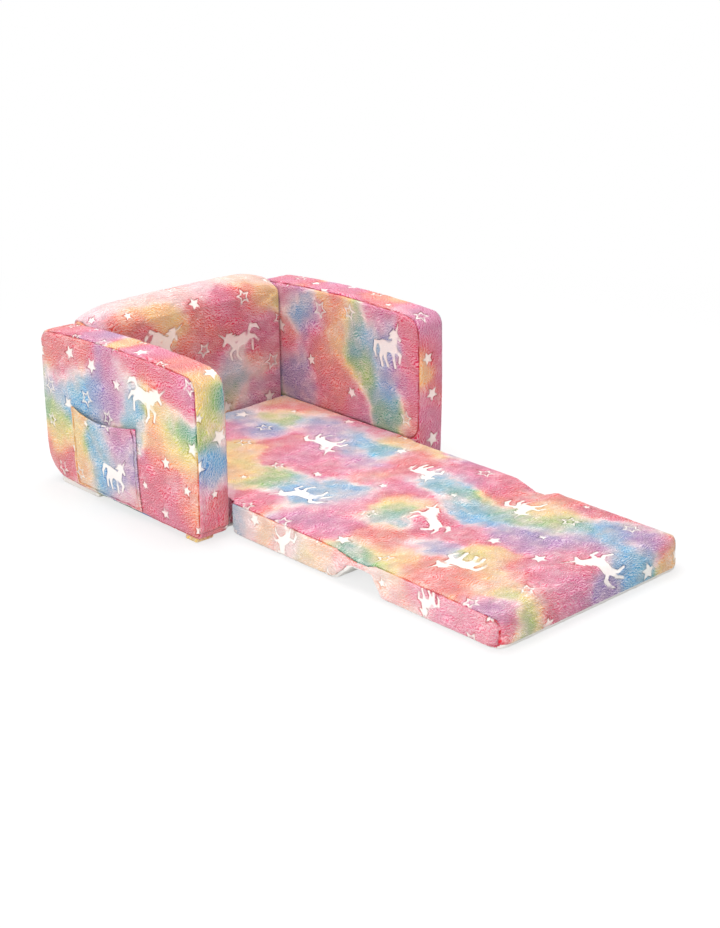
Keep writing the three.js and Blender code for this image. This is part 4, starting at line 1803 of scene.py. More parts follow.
POCKET_SPOTS = spots(
    {
        Dye.ROSE: ((0.27, 0.20),),
        Dye.PEACH: ((0.27, 0.03, 0.5),),
        Dye.YELLOW: ((0.46, 0.15, 0.7), (0.46, 0.09, 0.7), (0.45, 0.03, 0.6)),
        Dye.SKY: ((0.39, 0.13, 0.9), (0.40, 0.05, 0.9), (0.36, 0.09, 0.7)),
        Dye.PERIWINKLE: ((0.36, 0.17, 0.7), (0.27, 0.15)),
        Dye.LAVENDER: ((0.30, 0.11, 0.9),),
        Dye.PINK: ((0.32, 0.17, 0.8), (0.34, 0.03, 0.35)),
    }
)
FAR_INNER_SPOTS = spots(
    {
        Dye.ROSE: ((0.40, 0.18), (0.33, 0.17), (0.35, 0.12), (0.10, 0.28), (0.11, 0.13), (0.12, 0.20)),
        Dye.CORAL: ((0.33, 0.28), (0.38, 0.21), (0.50, 0.19)),
        Dye.YELLOW: ((0.30, 0.31), (0.34, 0.23, 0.9)),
        Dye.GREEN: ((0.27, 0.26, 0.8), (0.24, 0.19, 0.9), (0.20, 0.12, 0.7)),
        Dye.TEAL: ((0.26, 0.31, 0.8), (0.16, 0.12)),
        Dye.SKY: ((0.46, 0.27), (0.26, 0.23), (0.21, 0.26)),
        Dye.PERIWINKLE: ((0.48, 0.15, 0.9), (0.18, 0.17)),
        Dye.LAVENDER: ((0.41, 0.24), (0.44, 0.12, 0.8)),
        Dye.PINK: ((0.49, 0.31, 0.8), (0.22, 0.31), (0.27, 0.08)),
    }
)
MATTRESS_SPOTS = spots(
    {
        Dye.ROSE: (
            (0.23, 0.25), (0.24, 0.18), (-0.03, -0.25), (0.21, -0.20), (0.22, -0.39, 0.9),
            (-0.03, -0.30, 0.9), (0.02, -0.52), (-0.11, -0.57), (-0.235, -0.63), (-0.11, -0.66),
        ),
        Dye.CORAL: (
            (0.23, 0.37, 0.9), (0.06, -0.02, 0.8), (0.16, 0.00), (-0.14, -0.23), (0.21, -0.28, 0.9),
            (-0.08, -0.49, 0.9), (-0.19, -0.41),
        ),
        Dye.PEACH: ((0.16, 0.49, 0.1), (0.21, 0.46, 0.9), (0.23, 0.10), (0.17, -0.34), (-0.17, -0.46, 0.9)),
        Dye.YELLOW: (
            (-0.05, 0.29), (-0.15, 0.20), (-0.01, -0.13, 0.8), (-0.19, -0.30), (-0.06, -0.43),
            (0.22, -0.64),
        ),
        Dye.GREEN: (
            (0.14, 0.37, 0.7), (-0.12, 0.12, 0.9), (0.10, -0.33, 0.8), (0.13, -0.41, 0.8),
            (-0.165, -0.54, 0.7), (-0.17, -0.625, 0.8),
        ),
        Dye.TEAL: ((-0.06, -0.14, 0.7), (-0.22, -0.24, 0.8), (-0.185, -0.66, 0.7)),
        Dye.SKY: (
            (0.08, 0.46, 0.5), (0.19, 0.20), (0.16, 0.10, 0.9), (0.11, -0.11), (-0.11, 0.05),
            (-0.07, -0.03, 0.9), (0.06, -0.27), (0.16, -0.50, 0.8), (0.10, -0.62, 0.9),
            (0.15, -0.64),
        ),
        Dye.PERIWINKLE: ((0.18, 0.29, 0.8), (0.05, 0.37, 0.7), (-0.13, -0.30, 0.9)),
        Dye.LAVENDER: (
            (0.15, 0.24, 0.7), (0.09, 0.07, 0.8), (0.03, -0.39, 0.8), (0.03, -0.46),
            (0.08, -0.49, 0.8), (0.19, -0.57, 0.8), (-0.225, -0.57), (0.05, -0.64),
        ),
        Dye.PINK: (
            (0.00, 0.39), (0.00, 0.21), (0.01, 0.13), (-0.19, 0.07), (-0.18, -0.10, 0.9),
            (0.04, -0.09, 0.9), (-0.08, -0.09, 0.8), (0.20, -0.14), (-0.06, -0.53), (-0.06, -0.61),
            (-0.08, -0.64),
        ),
    }
)
NEAR_BOXING_SPOTS = spots(
    {
        Dye.ROSE: ((0.01, -0.29), (0.06, -0.29, 0.8), (0.85, -0.29), (1.51, -0.30, 0.6), (1.56, -0.28)),
        Dye.CORAL: ((1.21, -0.28, 0.9),),
        Dye.YELLOW: ((1.04, -0.26), (1.28, -0.29, 0.8), (1.33, -0.31)),
        Dye.GREEN: ((1.36, -0.30), (1.39, -0.31)),
        Dye.SKY: ((1.32, -0.27, 0.8), (1.44, -0.28)),
        Dye.PERIWINKLE: ((1.47, -0.30, 0.9),),
        Dye.LAVENDER: ((0.95, -0.27, 0.8),),
        Dye.PINK: ((1.12, -0.28), (1.38, -0.26, 0.4)),
    }
)
FAR_BOXING_SPOTS = spots(
    {
        Dye.ROSE: ((0.86, 0.28), (1.49, 0.33, 0.9), (1.55, 0.27)),
        Dye.PEACH: ((1.15, 0.31, 0.8), (1.36, 0.26)),
        Dye.YELLOW: ((1.42, 0.27, 0.9),),
        Dye.PINK: (
            (0.01, 0.29), (0.06, 0.29, 0.8), (1.02, 0.28), (1.26, 0.30, 0.4), (1.31, 0.27),
            (1.31, 0.31, 0.9), (1.36, 0.31), (1.42, 0.32), (1.48, 0.28), (1.57, 0.32),
        ),
    }
)
# The weak spots along the top, above 0.36 on the panel, pale the crest: partly paler dye, partly painted
# light from above
BACK_SPOTS = spots(
    {
        Dye.ROSE: ((0.04, 0.31), (0.15, 0.30), (-0.02, 0.20, 0.8), (-0.12, 0.25), (-0.20, 0.09)),
        Dye.CORAL: ((-0.14, 0.29), (0.03, 0.24, 0.8), (0.22, 0.38, 0.5)),
        Dye.PEACH: (
            (-0.16, 0.31, 0.9), (0.20, 0.16, 0.5), (-0.12, 0.37, 0.1), (-0.02, 0.37, 0.2),
            (-0.05, 0.41, 0.1),
        ),
        Dye.YELLOW: (
            (-0.07, 0.30, 0.8), (0.20, 0.33, 0.9), (-0.07, 0.38, 0.1), (0.15, 0.36, 0.6),
            (-0.10, 0.14),
        ),
        Dye.TEAL: ((0.12, 0.12, 0.35),),
        Dye.SKY: ((0.12, 0.18, 0.45), (0.05, 0.12, 0.4), (-0.20, 0.20)),
        Dye.LAVENDER: ((0.07, 0.38, 0.35),),
        Dye.PINK: (
            (0.09, 0.25, 0.8), (0.20, 0.23, 0.8), (0.21, 0.10, 0.7), (0.04, 0.18, 0.7),
            (-0.22, 0.37, 0.25), (-0.17, 0.38, 0.1), (0.02, 0.40, 0.1), (0.11, 0.40, 0.1),
            (-0.14, 0.41, 0.1),
        ),
    }
)
LOUNGER_SIDE_SPOTS = spots(
    {
        Dye.ROSE: ((-0.56, 0.03),),
        Dye.CORAL: ((-0.22, 0.05, 0.5),),
        Dye.PEACH: ((-0.06, 0.045, 0.1), (-0.30, 0.04, 0.3), (-0.36, 0.035, 0.5)),
        Dye.YELLOW: ((0.01, 0.05, 0.45), (-0.14, 0.04, 0.5)),
        Dye.GREEN: ((-0.18, 0.015, 0.7),),
        Dye.SKY: ((0.07, 0.04, 0.8),),
        Dye.PINK: ((-0.42, 0.05, 0.3), (-0.48, 0.04)),
    }
)
PAD_SPOTS = spots(
    {
        Dye.YELLOW: ((-0.28, 0.11), (0.30, 0.11)),
    }
)
# The seat, the crease and the folding cushion share one cloth and one drift of its dye
MATTRESS_SEED = 31


class Sofa:
    """The whole sofa, built part by part over the frame."""

    ARM_CROWN = 5 * MM
    COVER_PARTS = ("top_panel", "base_cloth", "left_gusset", "right_gusset")
    # Radius of a foam's top corners, radius at its heel, and how far its top stays down, in millimetres
    FOAM_SHAPES = {
        "left_arm_foam": (20, 60, 14),
        "right_arm_foam": (20, 60, 14),
        "back_foam": (6, 6, 34),
        "seat_foam": (6, 6, 5),
    }

    def __init__(self) -> None:
        """Makes the finishes and the cloth that the seat and the lounger share."""
        self.finishes = Finishes()
        self.pieces: list[Piece] = []
        self.top_cloth = Panel(
            (-0.24, -0.66), (0.25, 0.51), MATTRESS_SPOTS,
            (
                Print(-0.12, 0.40, 0.085, 200, Motif.STANDING),
                Print(0.10, 0.20, 0.088, 95, Motif.PRANCING),
                Print(-0.12, 0.02, 0.088, 84, Motif.PRANCING, True),
                Print(0.13, -0.06, 0.080, 100, Motif.STANDING),
                Print(-0.02, -0.22, 0.080, 262, Motif.PRANCING),
                Print(0.15, -0.30, 0.085, 76, Motif.PRANCING),
                Print(-0.13, -0.40, 0.088, 96, Motif.STANDING, True),
                Print(0.05, -0.57, 0.090, 84, Motif.PRANCING, True),
            ),
            spot_size=0.028, stretch=1.15, strength=0.88, star_gap=0.084,
        )

    def keep(self, *pieces: Piece) -> None:
        """Counts finished pieces and reports them.

        Args:
            pieces: The pieces.
        """
        for piece in pieces:
            self.pieces.append(piece)
            LOG.info("%s: %d faces", piece.name, len(piece.data.polygons))

    def build_arms(self) -> None:
        """Both arms."""
        for name, side in (("left", -1), ("right", 1)):
            nodes = tuple(f"{name}_arm_{part}" for part in ("outer_panel", "inner_panel", "boxing"))
            low, high = node_box(*nodes)
            low_x = low.x + (self.ARM_CROWN if side < 0 else 0)
            high_x = high.x - (self.ARM_CROWN if side > 0 else 0)
            front, rear, floor = low.y + 3 * MM, high.y - 5 * MM, low.z
            corners = (
                Corner(front, floor, 15 * MM),
                Corner(rear, floor, 66 * MM),
                Corner(rear, 319 * MM, 24 * MM),
                Corner(front, 327 * MM, 22 * MM),
            )
            box = ((front, floor), (rear, 0.33))
            if side < 0:
                unicorn = Print(0.235, 0.250, 0.088, 24, Motif.PRANCING)
                outer = Panel(*box, NEAR_OUTER_SPOTS, (unicorn,), strength=1.12)
                inner = Panel(*box, (), (Print(0.30, 0.22, 0.085, -8, Motif.STANDING, True),))
                strip_spots, depth = NEAR_BOXING_SPOTS, 1.22
            else:
                pair = (
                    Print(0.21, 0.20, 0.088, -12, Motif.STANDING),
                    Print(0.43, 0.19, 0.085, 14, Motif.PRANCING, True),
                )
                outer = Panel(*box, (), pair)
                unicorn = Print(0.175, 0.245, 0.088, -6, Motif.STANDING)
                inner = Panel(*box, FAR_INNER_SPOTS, (unicorn,), strength=1.25, star_gap=0.086)
                strip_spots, depth = FAR_BOXING_SPOTS, 1.25
            boxing = Panel((0.0, low_x), (1.6, high_x), strip_spots, strength=depth)
            arm = Arm(
                f"{name}_arm", nodes, low_x, high_x, corners, (outer, inner, boxing),
                seed=11 + side, outward=side,
            )
            self.keep(arm.build(self.finishes))

    def build_back(self) -> None:
        """The back."""
        nodes = ("back_front_panel", "back_rear_panel", "back_left_gusset", "back_right_gusset")
        low, high = node_box(*nodes)
        front, rear, floor = low.y + 5 * MM, high.y - 3 * MM, low.z
        corners = (
            Corner(front, floor, 8 * MM),
            Corner(rear, floor, 8 * MM),
            Corner(rear, 337 * MM, 16 * MM),
            Corner(front + 47 * MM, 348 * MM, 40 * MM),
            Corner(front, 326 * MM, 18 * MM),
        )
        wrap = Panel(
            (low.x, 0.07), (high.x, 0.42), BACK_SPOTS,
            (
                Print(0.135, 0.215, 0.085, 28, Motif.PRANCING),
                Print(-0.075, 0.255, 0.085, -32, Motif.STANDING, True),
            ),
            # The crest pales: partly paler dye, partly painted light from above
            pale_and_lit_above=0.335,
        )
        rear_panel = Panel(
            (low.x, floor), (high.x, 0.34), (),
            (
                Print(-0.14, 0.22, 0.088, 12, Motif.PRANCING),
                Print(0.05, 0.16, 0.088, -18, Motif.STANDING),
                Print(0.18, 0.26, 0.085, 20, Motif.PRANCING, True),
            ),
        )
        ends = [Panel((front, floor), (rear, 0.34)) for _ in range(2)]
        back = Back("back", nodes, low.x, high.x, corners, (wrap, rear_panel, *ends), seed=21)
        self.keep(back.build(self.finishes))

    def build_seat(self) -> None:
        """The fixed seat."""
        nodes = tuple(f"seat_{part}" for part in self.COVER_PARTS)
        low, high = node_box(*nodes)
        front, rear, floor = low.y, high.y, low.z
        corners = (
            Corner(front, floor, 8 * MM),
            Corner(rear, floor, 8 * MM),
            Corner(rear, 70 * MM, 8 * MM),
            Corner(front, 70 * MM, 3.5 * MM),
        )
        base = Panel((low.x, front), (high.x, rear), bare=True)
        ends = [Panel((front, floor), (rear, 0.07)) for _ in range(2)]
        seat = Seat(
            "seat", nodes, low.x, high.x, corners, (self.top_cloth, base, *ends),
            seed=MATTRESS_SEED, seam_depth=1.2 * MM,
        )
        self.keep(seat.build(self.finishes))

    def build_lounger(self) -> None:
        """The folding cushion with its waist."""
        nodes = tuple(f"{section}_{part}" for section in ("middle", "end") for part in self.COVER_PARTS)
        nodes = (*nodes, "fold_waist")
        low, high = node_box(*nodes)
        waist_low, waist_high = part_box("fold_waist")
        rear, front = high.y, low.y + 2 * MM
        under = waist_low.z + 1 * MM
        corners = (
            Corner(waist_high.y + 36 * MM, 0.0, 30 * MM),
            Corner(rear, 0.0, 9 * MM),
            Corner(rear, 68 * MM, 4 * MM),
            Corner(waist_high.y + 28 * MM, 66 * MM, 60 * MM),
            Corner(waist_high.y - 14 * MM, 54 * MM, 40 * MM),
            Corner(waist_low.y + 14 * MM, 54 * MM, 30 * MM),
            Corner(waist_low.y - 12 * MM, 64 * MM, 34 * MM),
            Corner(front, 60 * MM, 22 * MM),
            Corner(front, 0.0, 9 * MM),
            Corner(waist_low.y - 24 * MM, 0.0, 12 * MM),
            Corner(waist_low.y, under, 8 * MM),
            Corner(waist_high.y, under, 14 * MM),
        )
        base = Panel((low.x, front), (high.x, rear), bare=True)
        pair = (
            Print(-0.06, 0.036, 0.060, 150, Motif.PRANCING),
            Print(-0.43, 0.036, 0.056, 165, Motif.STANDING),
        )
        side = ((front, 0.0), (rear, 0.07))
        left = Panel(*side, LOUNGER_SIDE_SPOTS, pair, spot_size=0.026, strength=0.56)
        lounger = Lounger(
            "lounger_cushion", nodes, low.x + 1.2 * MM, high.x - 1.2 * MM, corners,
            (self.top_cloth, base, left, Panel(*side)), seed=MATTRESS_SEED, body="middle_section",
            waist_y=(waist_low.y + waist_high.y) / 2, front_y=front, fold=(waist_high.y, waist_low.y),
        )
        self.keep(lounger.build(self.finishes))

    def build_foams(self) -> None:
        """The six foam blocks inside the covers."""
        for node, (round_top, heel, drop) in self.FOAM_SHAPES.items():
            low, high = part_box(node)
            front, rear, floor, top = low.y + 5 * MM, high.y - 6 * MM, low.z + 2 * MM, high.z - drop * MM
            corners = (
                Corner(front, floor, 8 * MM),
                Corner(rear, floor, heel * MM),
                Corner(rear, top, round_top * MM),
                Corner(front, top, round_top * MM),
            )
            self.keep(Foam(node, "sofa", corners).build(self.finishes))
        low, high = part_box("middle_foam")
        corners = (
            Corner(low.y + 44 * MM, low.z + 1 * MM, 10 * MM),
            Corner(high.y - 5 * MM, low.z + 1 * MM, 6 * MM),
            Corner(high.y - 5 * MM, 62 * MM, 6 * MM),
            Corner(low.y + 32 * MM, 59 * MM, 20 * MM),
            Corner(low.y + 5 * MM, 50 * MM, 4 * MM),
            Corner(low.y + 5 * MM, 39 * MM, 3 * MM),
        )
        self.keep(Foam("middle_foam", "middle_section", corners).build(self.finishes))
        low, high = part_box("end_foam")
        corners = (
            Corner(low.y + 14 * MM, low.z + 1 * MM, 6 * MM),
            Corner(high.y - 32 * MM, low.z + 1 * MM, 6 * MM),
            Corner(high.y - 8 * MM, 38 * MM, 4 * MM),
            Corner(high.y - 8 * MM, 50 * MM, 4 * MM),
            Corner(high.y - 34 * MM, 56 * MM, 10 * MM),
            Corner(low.y + 14 * MM, 53 * MM, 16 * MM),
        )
        self.keep(Foam("end_foam", "end_section", corners, side_gap=8 * MM).build(self.finishes))

    def build_trimmings(self) -> None:
        """Crease web, pocket, feet and zip."""
        self.keep(CreaseWeb(self.top_cloth).build(self.finishes))
        pair = (
            Print(0.34, 0.075, 0.078, 12, Motif.STANDING),
            Print(0.2715, 0.088, 0.12, 0, Motif.LINE),
        )
        cloth = Panel((0.27, 0.02), (0.48, 0.19), POCKET_SPOTS, pair, spot_size=0.026, star_gap=0.075)
        arm = next(piece for piece in self.pieces if piece.name == "left_arm")
        self.keep(*Pocket(cloth).build(arm, self.finishes))
        for side in ("left", "right"):
            pad = Panel((-0.33, 0.09), (0.33, 0.14), PAD_SPOTS, spot_size=0.06, star_gap=0.4)
            front = Foot(
                f"{side}_front_pad", f"{side}_front_foot", 9.5 * MM, pad, narrower=18 * MM, set_back=11 * MM
            )
            rear = Foot(f"{side}_rear_strip", f"{side}_rear_foot_strip", 10.5 * MM, heel_rise=6.4 * MM)
            self.keep(front.build(self.finishes), rear.build(self.finishes))
        self.keep(*Zip().build(self.finishes))


@dataclass
class Foam:
    """A cut foam block inside a cover."""

    node: str
    body: str
    corners: tuple[Corner, ...]
    edge: float = 4 * MM
    side_gap: float = 2 * MM
    cut_step: float = 40 * MM

    def build(self, finishes: Finishes) -> Piece:
        """Makes the block in the width of its node.

        Args:
            finishes: The sofa's materials.

        Returns:
            The piece.
        """
        low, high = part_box(self.node)
        form = profile_form(self.corners, low.x + self.side_gap, high.x - self.side_gap, self.edge)
        sliced(form, 0, self.cut_step)
        piece = new_piece(self.node + "_block", form)
        piece.data.materials.append(finishes.foam)
        hand_in(piece, "foam", self.node, body=self.body)
        return piece


@dataclass
class CreaseWeb:
    """The strip of the top cloth that bridges the crease in front of the seat."""

    panel: Panel
    seat_top: float = 70 * MM
    lounger_top: float = 68 * MM
    reach: float = 15 * MM
    rise: float = 1.0 * MM
    tuck: float = 1.0 * MM
    thickness: float = 2.4 * MM
    bend: float = 4.5 * MM

    def build(self, finishes: Finishes) -> Piece:
        """Makes the strip, paints it and bakes its placement.

        Args:
            finishes: The sofa's materials.

        Returns:
            The piece.
        """
        low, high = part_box("front_hinge_web")
        middle = (low.y + high.y) / 2
        width, centre = high.x - low.x, (low.x + high.x) / 2
        form = bmesh.new()
        bmesh.ops.create_grid(form, x_segments=160, y_segments=14, size=0.5)
        bmesh.ops.scale(form, verts=form.verts, vec=(width, 2 * self.reach, 1))
        bmesh.ops.translate(form, verts=form.verts, vec=(centre, middle, 0))
        for vert in form.verts:
            share = (vert.co.y - middle) / self.reach
            level = self.lounger_top + (self.seat_top - self.lounger_top) * (share + 1) / 2
            vert.co.z = level + self.rise - (self.rise + self.tuck) * share**4
        bmesh.ops.solidify(form, geom=form.faces, thickness=self.thickness)
        top = max(vert.co.z for vert in form.verts)
        lift = self.lounger_top + self.rise + (self.seat_top - self.lounger_top) / 2 - top
        bmesh.ops.translate(form, verts=form.verts, vec=(0, 0, lift))
        piece = new_piece("crease_web", form)
        paint_plush(piece.data, (self.panel,), lambda _, at: at[:, :2], Clouds(MATTRESS_SEED))
        piece.data.materials.append(finishes.plush)
        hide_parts("front_hinge_web")
        2 * self.reach
        start, end = (0.0, middle + self.bend, 0.0), (0.0, middle - self.bend, 0.0)
        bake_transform(piece)
        return piece


@dataclass
class Pocket:
    """The patch pocket on the near arm: a sagging panel and its turned hem."""

    panel: Panel
    front: float = 0.266
    rear: float = 0.481
    foot: float = 18 * MM
    rear_top: float = 184 * MM
    front_top: float = 189 * MM
    sag: float = 12 * MM
    slack: float = 9 * MM
    thickness: float = 2.6 * MM
    gap: float = 0.2 * MM
    hem_depth: float = 12 * MM
    hem_thickness: float = 4.4 * MM
    hem_sink: float = 1.4 * MM
    hem_overlap: float = 0.03
    seam_inset: float = 0.03
    corner_turn: float = 14 * MM
    corner_lift: float = 3 * MM
    pile_height: float = 0.25 * MM
    pile_size: float = 8 * MM
    print_depth: float = 0.5 * MM
    arm_face: float = -0.318
    seed: int = 51

    def mouth(self, share: float) -> float:
        """Height of the mouth at a share of the way from front to rear."""
        return self.front_top + (self.rear_top - self.front_top) * share - self.sag * hump(share) ** 1.3

    def skin(self, arm: Piece) -> Callable[[float, float], float]:
        """Measures the arm's outer face.

        Args:
            arm: The finished arm.

        Returns:
            A function from Y and Z to the face's X.
        """
        form = bmesh.new()
        form.from_mesh(arm.data)
        tree = BVHTree.FromBMesh(form)
        form.free()

        def face_at(y: float, z: float) -> float:
            """The face's X at a place."""
            hit = tree.ray_cast(Vector((-0.5, y, z)), Vector((1, 0, 0)))[0]
            return hit.x if hit else self.arm_face

        return face_at

    def bulge(self, along: float, up: float) -> float:
        """How far the panel's inner side stands off the arm.

        Args:
            along: Share of the way from front to rear.
            up: Share of the pocket's height.

        Returns:
            The distance.
        """
        edge = min(1.0, 9 * min(along, 1 - along))
        lean = 0.18 + 0.82 * up**3
        ripple = 0.08 * math.sin(9 * along + 3 * up)
        return self.slack * edge**0.6 * (lean * hump(along**1.25) ** 0.7 + ripple * up)

    def sheet_form(
        self, face_at: Callable[[float, float], float], low: float, high: float, proud: float
    ) -> Form:
        """A grid between two shares of the pocket's height, hung off the arm's face.

        Args:
            face_at: The arm's face.
            low: Share of the height where it starts.
            high: Share where it ends.
            proud: How much further out than the panel it hangs.

        Returns:
            The grid.
        """
        form = bmesh.new()
        rows = max(4, round(60 * (high - low)))
        bmesh.ops.create_grid(form, x_segments=72, y_segments=rows, size=0.5)
        for vert in form.verts:
            along, up = vert.co.x + 0.5, low + (high - low) * (vert.co.y + 0.5)
            y = self.front + (self.rear - self.front) * along
            z = self.foot + (self.mouth(along) - self.foot) * up
            tuft = math.exp(-((along / 0.06) ** 2) - ((1 - up) / 0.06) ** 2)
            x = face_at(y, z) - self.bulge(along, up) - proud - self.corner_lift * tuft
            vert.co = (x, y - 0.3 * self.corner_turn * tuft, z + 0.15 * self.corner_turn * tuft)
        return form

    def build(self, arm: Piece, finishes: Finishes) -> list[Piece]:
        """Makes the panel and the hem.

        Args:
            arm: The arm that it is sewn to.
            finishes: The sofa's materials.

        Returns:
            Both pieces.
        """
        face_at = self.skin(arm)
        height = self.front_top - self.foot
        hem_share = 1 - self.hem_depth / height
        panel_top, panel_out = hem_share + self.hem_overlap, self.thickness + self.gap
        hem_out = self.hem_thickness - self.hem_sink
        pieces = []
        for name, node, low, high, thickness, proud in (
            ("pocket", "pocket_panel", 0.0, panel_top, self.thickness, panel_out),
            ("pocket_rim", "pocket_hem", hem_share, 1.0, self.hem_thickness, hem_out),
        ):
            piece = new_piece(name, self.sheet_form(face_at, low, high, proud))
            self.thicken(piece, thickness)
            self.dress(piece.data, height, finishes)
            hand_in(piece, "plush", node)
            flat = (self.rear - self.front, height * (high - low))
            pieces.append(piece)
        return pieces

    @staticmethod
    def thicken(piece: Piece, thickness: float) -> None:
        """Gives a sheet its thickness and a turned edge.

        Args:
            piece: The sheet.
            thickness: Its thickness.
        """
        wall = piece.modifiers.new("cloth", "SOLIDIFY")
        wall.thickness = thickness
        wall.offset = 0.0
        rim = piece.modifiers.new("turned edge", "BEVEL")
        rim.width = thickness * 0.4
        rim.segments = 2
        rim.limit_method = "ANGLE"
        baked(piece)

    def dress(self, mesh: Mesh, height: float, finishes: Finishes) -> None:
        """Dyes and prints a sheet and lays its pile.

        Args:
            mesh: The sheet's mesh.
            height: The pocket's height.
            finishes: The sofa's materials.
        """
        rest = get_vectors(mesh.vertices)
        clouds = Clouds(self.seed)
        along = (rest[:, 1] - self.front) / (self.rear - self.front)
        up = (rest[:, 2] - self.foot) / height
        inset = self.seam_inset
        edge = np.minimum.reduce((along - inset, 1 - inset - along, up - inset))
        seam = np.abs(edge) * height
        printed = paint_plush(mesh, (self.panel,), lambda _, at: at[:, 1:], clouds, seam=seam)
        normals = get_vectors(mesh.vertex_normals, "vector")
        pile = self.pile_height * clouds.at(rest, self.pile_size)
        relief = pile - self.print_depth * smooth_share(-printed, -1.2, 0.8)
        set_places(mesh, rest + normals * relief[:, None])
        mesh.shade_smooth()
        mesh.materials.append(finishes.plush)


@dataclass
class Foot:
    """A flat pad or strip under an arm, sewn from one cloth."""

    name: str
    node: str
    under: float
    panel: Panel | None = None
    heel_rise: float = 0.0
    narrower: float = 0.0
    set_back: float = 0.0
    cut_step: float = 6 * MM
    seed: int = 61

    def build(self, finishes: Finishes) -> Piece:
        """Makes the pad.

        Args:
            finishes: The sofa's materials.

        Returns:
            The piece.
        """
        low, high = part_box(self.node)
        low.y += self.set_back
        if low.x < 0:
            high.x -= self.narrower
        else:
            low.x += self.narrower
        size = high - low
        form = bmesh.new()
        middle = ((low.x + high.x) / 2, (low.y + high.y) / 2, self.under / 2)
        block(form, (size.x, size.y, self.under), middle)
        rounded(form, form.edges[:], self.under * 0.38, 4)
        for axis in (0, 1):
            sliced(form, axis, self.cut_step)
        for vert in form.verts:
            along = (vert.co.y - low.y) / size.y
            vert.co.z += self.heel_rise * max(along, 0) ** 2 * min(1.0, vert.co.z / self.under)
        piece = new_piece(self.name, form)
        if self.panel:
            paint_plush(piece.data, (self.panel,), self.cloth, Clouds(self.seed))
        piece.data.materials.append(finishes.plush if self.panel else finishes.base_cloth)
        hand_in(piece, "plush" if self.panel else "base_cloth", self.node)
        return piece

    @staticmethod
    def cloth(number: int, places: Array) -> Array:
        """The pad's cloth by X and its way over the front."""
        return np.column_stack((places[:, 0], places[:, 1] + places[:, 2]))


@dataclass
class Zip:
    """The zip along the foot of the back's rear: tape, nylon coil and slider."""

    tooth_pitch: float = 2.0 * MM
    tooth_reach: float = 2.4 * MM
    tooth_wide: float = 1.1 * MM
    tooth_stagger: float = 0.5 * MM
    stitch_depth: float = 0.45 * MM
    stitch_width: float = 1.6 * MM
    tape_edge: float = 0.5 * MM
    slider_edge: float = 0.22 * MM

    def build(self, finishes: Finishes) -> list[Piece]:
        """Makes the three pieces."""
        return [self.tape(finishes), self.chain(finishes), self.slider(finishes)]

    def tape(self, finishes: Finishes) -> Piece:
        """Two woven halves beside the coil, each with a row of stitches.

        Args:
            finishes: The sofa's materials.

        Returns:
            The piece.
        """
        low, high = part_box("back_zip_tape")
        size, middle = high - low, (low + high) / 2
        form = bmesh.new()
        block(form, size, middle)
        rounded(form, form.edges[:], self.tape_edge, 2)
        for axis, step in ((0, 10 * MM), (2, 2 * MM)):
            sliced(form, axis, step)
        for vert in form.verts:
            to_stitch = abs(abs(vert.co.z - middle.z) - size.z * 0.36)
            beside = min(to_stitch / self.stitch_width, 1.0)
            if vert.co.y > middle.y:
                vert.co.y -= self.stitch_depth * (1 - beside**2)
        piece = new_piece("zip_tape_band", form)
        piece.data.materials.append(finishes.zip_tape)
        return hand_in(piece, "zip_tape", "back_zip_tape")

    def chain(self, finishes: Finishes) -> Piece:
        """The closed coil: two rows of small hooked teeth.

        Args:
            finishes: The sofa's materials.

        Returns:
            The piece.
        """
        low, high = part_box("back_zip_chain")
        middle = (low + high) / 2
        size = (self.tooth_wide, high.y - low.y, self.tooth_reach * 1.6)
        form = bmesh.new()
        for tooth in range(int((high.x - low.x) / self.tooth_pitch)):
            x = low.x + (tooth + 0.5) * self.tooth_pitch
            z = middle.z + (self.tooth_stagger if tooth % 2 else -self.tooth_stagger)
            block(form, size, (x, middle.y, z), 1, (0.62, 1.0, 0.8))
        piece = new_piece("zip_coil", form)
        piece.data.materials.append(finishes.zip_teeth)
        return hand_in(piece, "zip_teeth", "back_zip_chain")

    def slider(self, finishes: Finishes) -> Piece:
        """The slider's body with its nose, its bridge and its cap.

        Args:
            finishes: The sofa's materials.

        Returns:
            The piece.
        """
        low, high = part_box("back_zip_slider")
        middle, size = (low + high) / 2, high - low
        form = bmesh.new()
        for shares, y, nose in (
            ((1.0, 0.45, 1.0), low.y + size.y * 0.23, (1.0, 1.0, 0.62)),
            ((0.62, 0.42, 0.20), high.y - size.y * 0.36, ()),
            ((0.5, 0.2, 0.5), high.y - size.y * 0.10, ()),
        ):
            sides = [side * share for side, share in zip(size, shares)]
            block(form, sides, (middle.x, y, middle.z), 0, nose)
        rounded(form, form.edges[:], self.slider_edge, 2)
        piece = new_piece("zip_runner", form)
        piece.data.materials.append(finishes.zip_metal)
        return hand_in(piece, "zip_metal", "back_zip_slider", body="zip_slider")


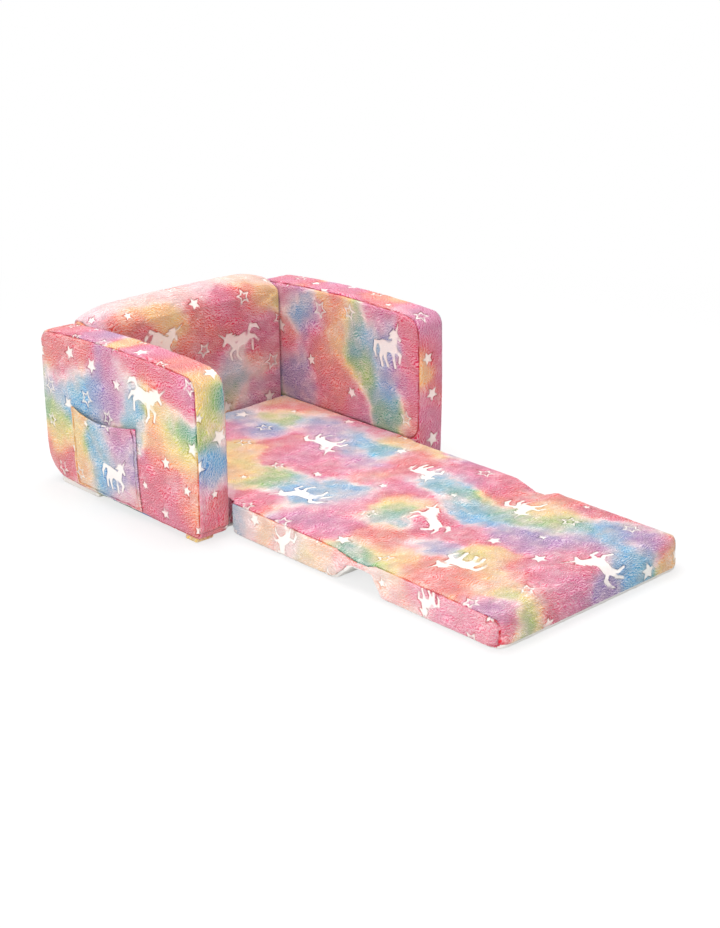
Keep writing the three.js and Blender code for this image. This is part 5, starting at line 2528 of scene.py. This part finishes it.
class Studio:
    """Camera, floor and lights."""

    HEADING = 43.09
    DIP = 20.67
    ROLL = -0.306
    PLACE = (-2.0569, -2.2077, 1.2438)
    FOCAL_PIXELS = 1667.7
    PHOTO_HEIGHT = 928
    SENSOR = 36.0
    TARGET = (0.0, -0.05, 0.15)
    FLOOR_SIZE = 14
    FLOOR_GREY = (0.86, 0.86, 0.86, 1.0)
    WHITE = (1.0, 1.0, 1.0, 1.0)
    WORLD_LIGHT = 0.52
    # Each lamp's place, size and power
    LAMPS = {
        "key": ((-2.5, -1.0, 1.1), 2.2, 42),
        "top": ((0.2, 0.6, 2.9), 2.2, 84),
        "fill": ((0.6, -3.0, 1.2), 2.0, 5),
    }

    def build(self) -> None:
        """Sets everything up."""
        self.camera()
        self.world()
        self.floor()
        self.lamps()
        bpy.context.scene.view_settings.view_transform = "Standard"

    def camera(self) -> None:
        """The photograph's viewpoint."""
        data = bpy.data.cameras.new("camera")
        data.sensor_width = self.SENSOR
        data.lens = self.SENSOR * self.FOCAL_PIXELS / self.PHOTO_HEIGHT
        data.clip_end = 60
        camera = linked("camera", data)
        turn = Matrix.Rotation(math.radians(-self.HEADING), 4, "Z")
        tilt = Matrix.Rotation(math.radians(90 - self.DIP), 4, "X")
        roll = Matrix.Rotation(math.radians(self.ROLL), 4, "Z")
        camera.matrix_world = Matrix.Translation(self.PLACE) @ turn @ tilt @ roll
        bpy.context.scene.camera = camera

    def world(self) -> None:
        """White to the camera, gentle light to the sofa."""
        tree = Tree(bpy.data.worlds.new("studio"))
        light = tree.node("ShaderNodeBackground", None, {"Color": self.WHITE, "Strength": self.WORLD_LIGHT})
        white = tree.node("ShaderNodeBackground", None, {"Color": self.WHITE})
        mix = tree.node("ShaderNodeMixShader", None, {0: tree.seen(), 1: light, 2: white})
        bpy.context.scene.world = tree.close(mix, "ShaderNodeOutputWorld")

    def floor(self) -> None:
        """A pale floor that keeps a faint shadow."""
        form = bmesh.new()
        bmesh.ops.create_grid(form, x_segments=1, y_segments=1, size=self.FLOOR_SIZE)
        floor = new_piece("floor", form)
        tree = new_material("floor")
        matte = tree.node("ShaderNodeBsdfDiffuse", None, {"Color": self.FLOOR_GREY})
        glow = tree.node("ShaderNodeEmission", None, {"Color": self.WHITE, "Strength": 1.0})
        far = tree.node("ShaderNodeVectorMath", {"operation": "LENGTH"}, {0: tree.place()}, output="Value")
        share = tree.seen() * (0.72 + 0.28 * far.step(0.8, 2.2))
        mix = tree.node("ShaderNodeMixShader", None, {0: share, 1: matte, 2: glow})
        floor.data.materials.append(tree.close(mix))

    def lamps(self) -> None:
        """A wide key from the left front, a top light and a weak fill."""
        for name, (place, size, power) in self.LAMPS.items():
            data = bpy.data.lights.new(name, "AREA")
            data.shape = "SQUARE"
            data.size = size
            data.energy = power
            lamp = linked(name, data)
            lamp.location = place
            way = Vector(self.TARGET) - Vector(place)
            lamp.rotation_euler = way.to_track_quat("-Z", "Y").to_euler()


def main() -> None:
    """Builds the sofa and its studio."""
    logging.basicConfig(level=logging.INFO, format="%(name)s: %(message)s")
    sofa = Sofa()
    Studio().build()
    sofa.build_arms()
    sofa.build_back()
    sofa.build_seat()
    sofa.build_lounger()
    sofa.build_foams()
    sofa.build_trimmings()
    LOG.info("%d pieces in all", len(sofa.pieces))


if __name__ == "__main__":
    main()
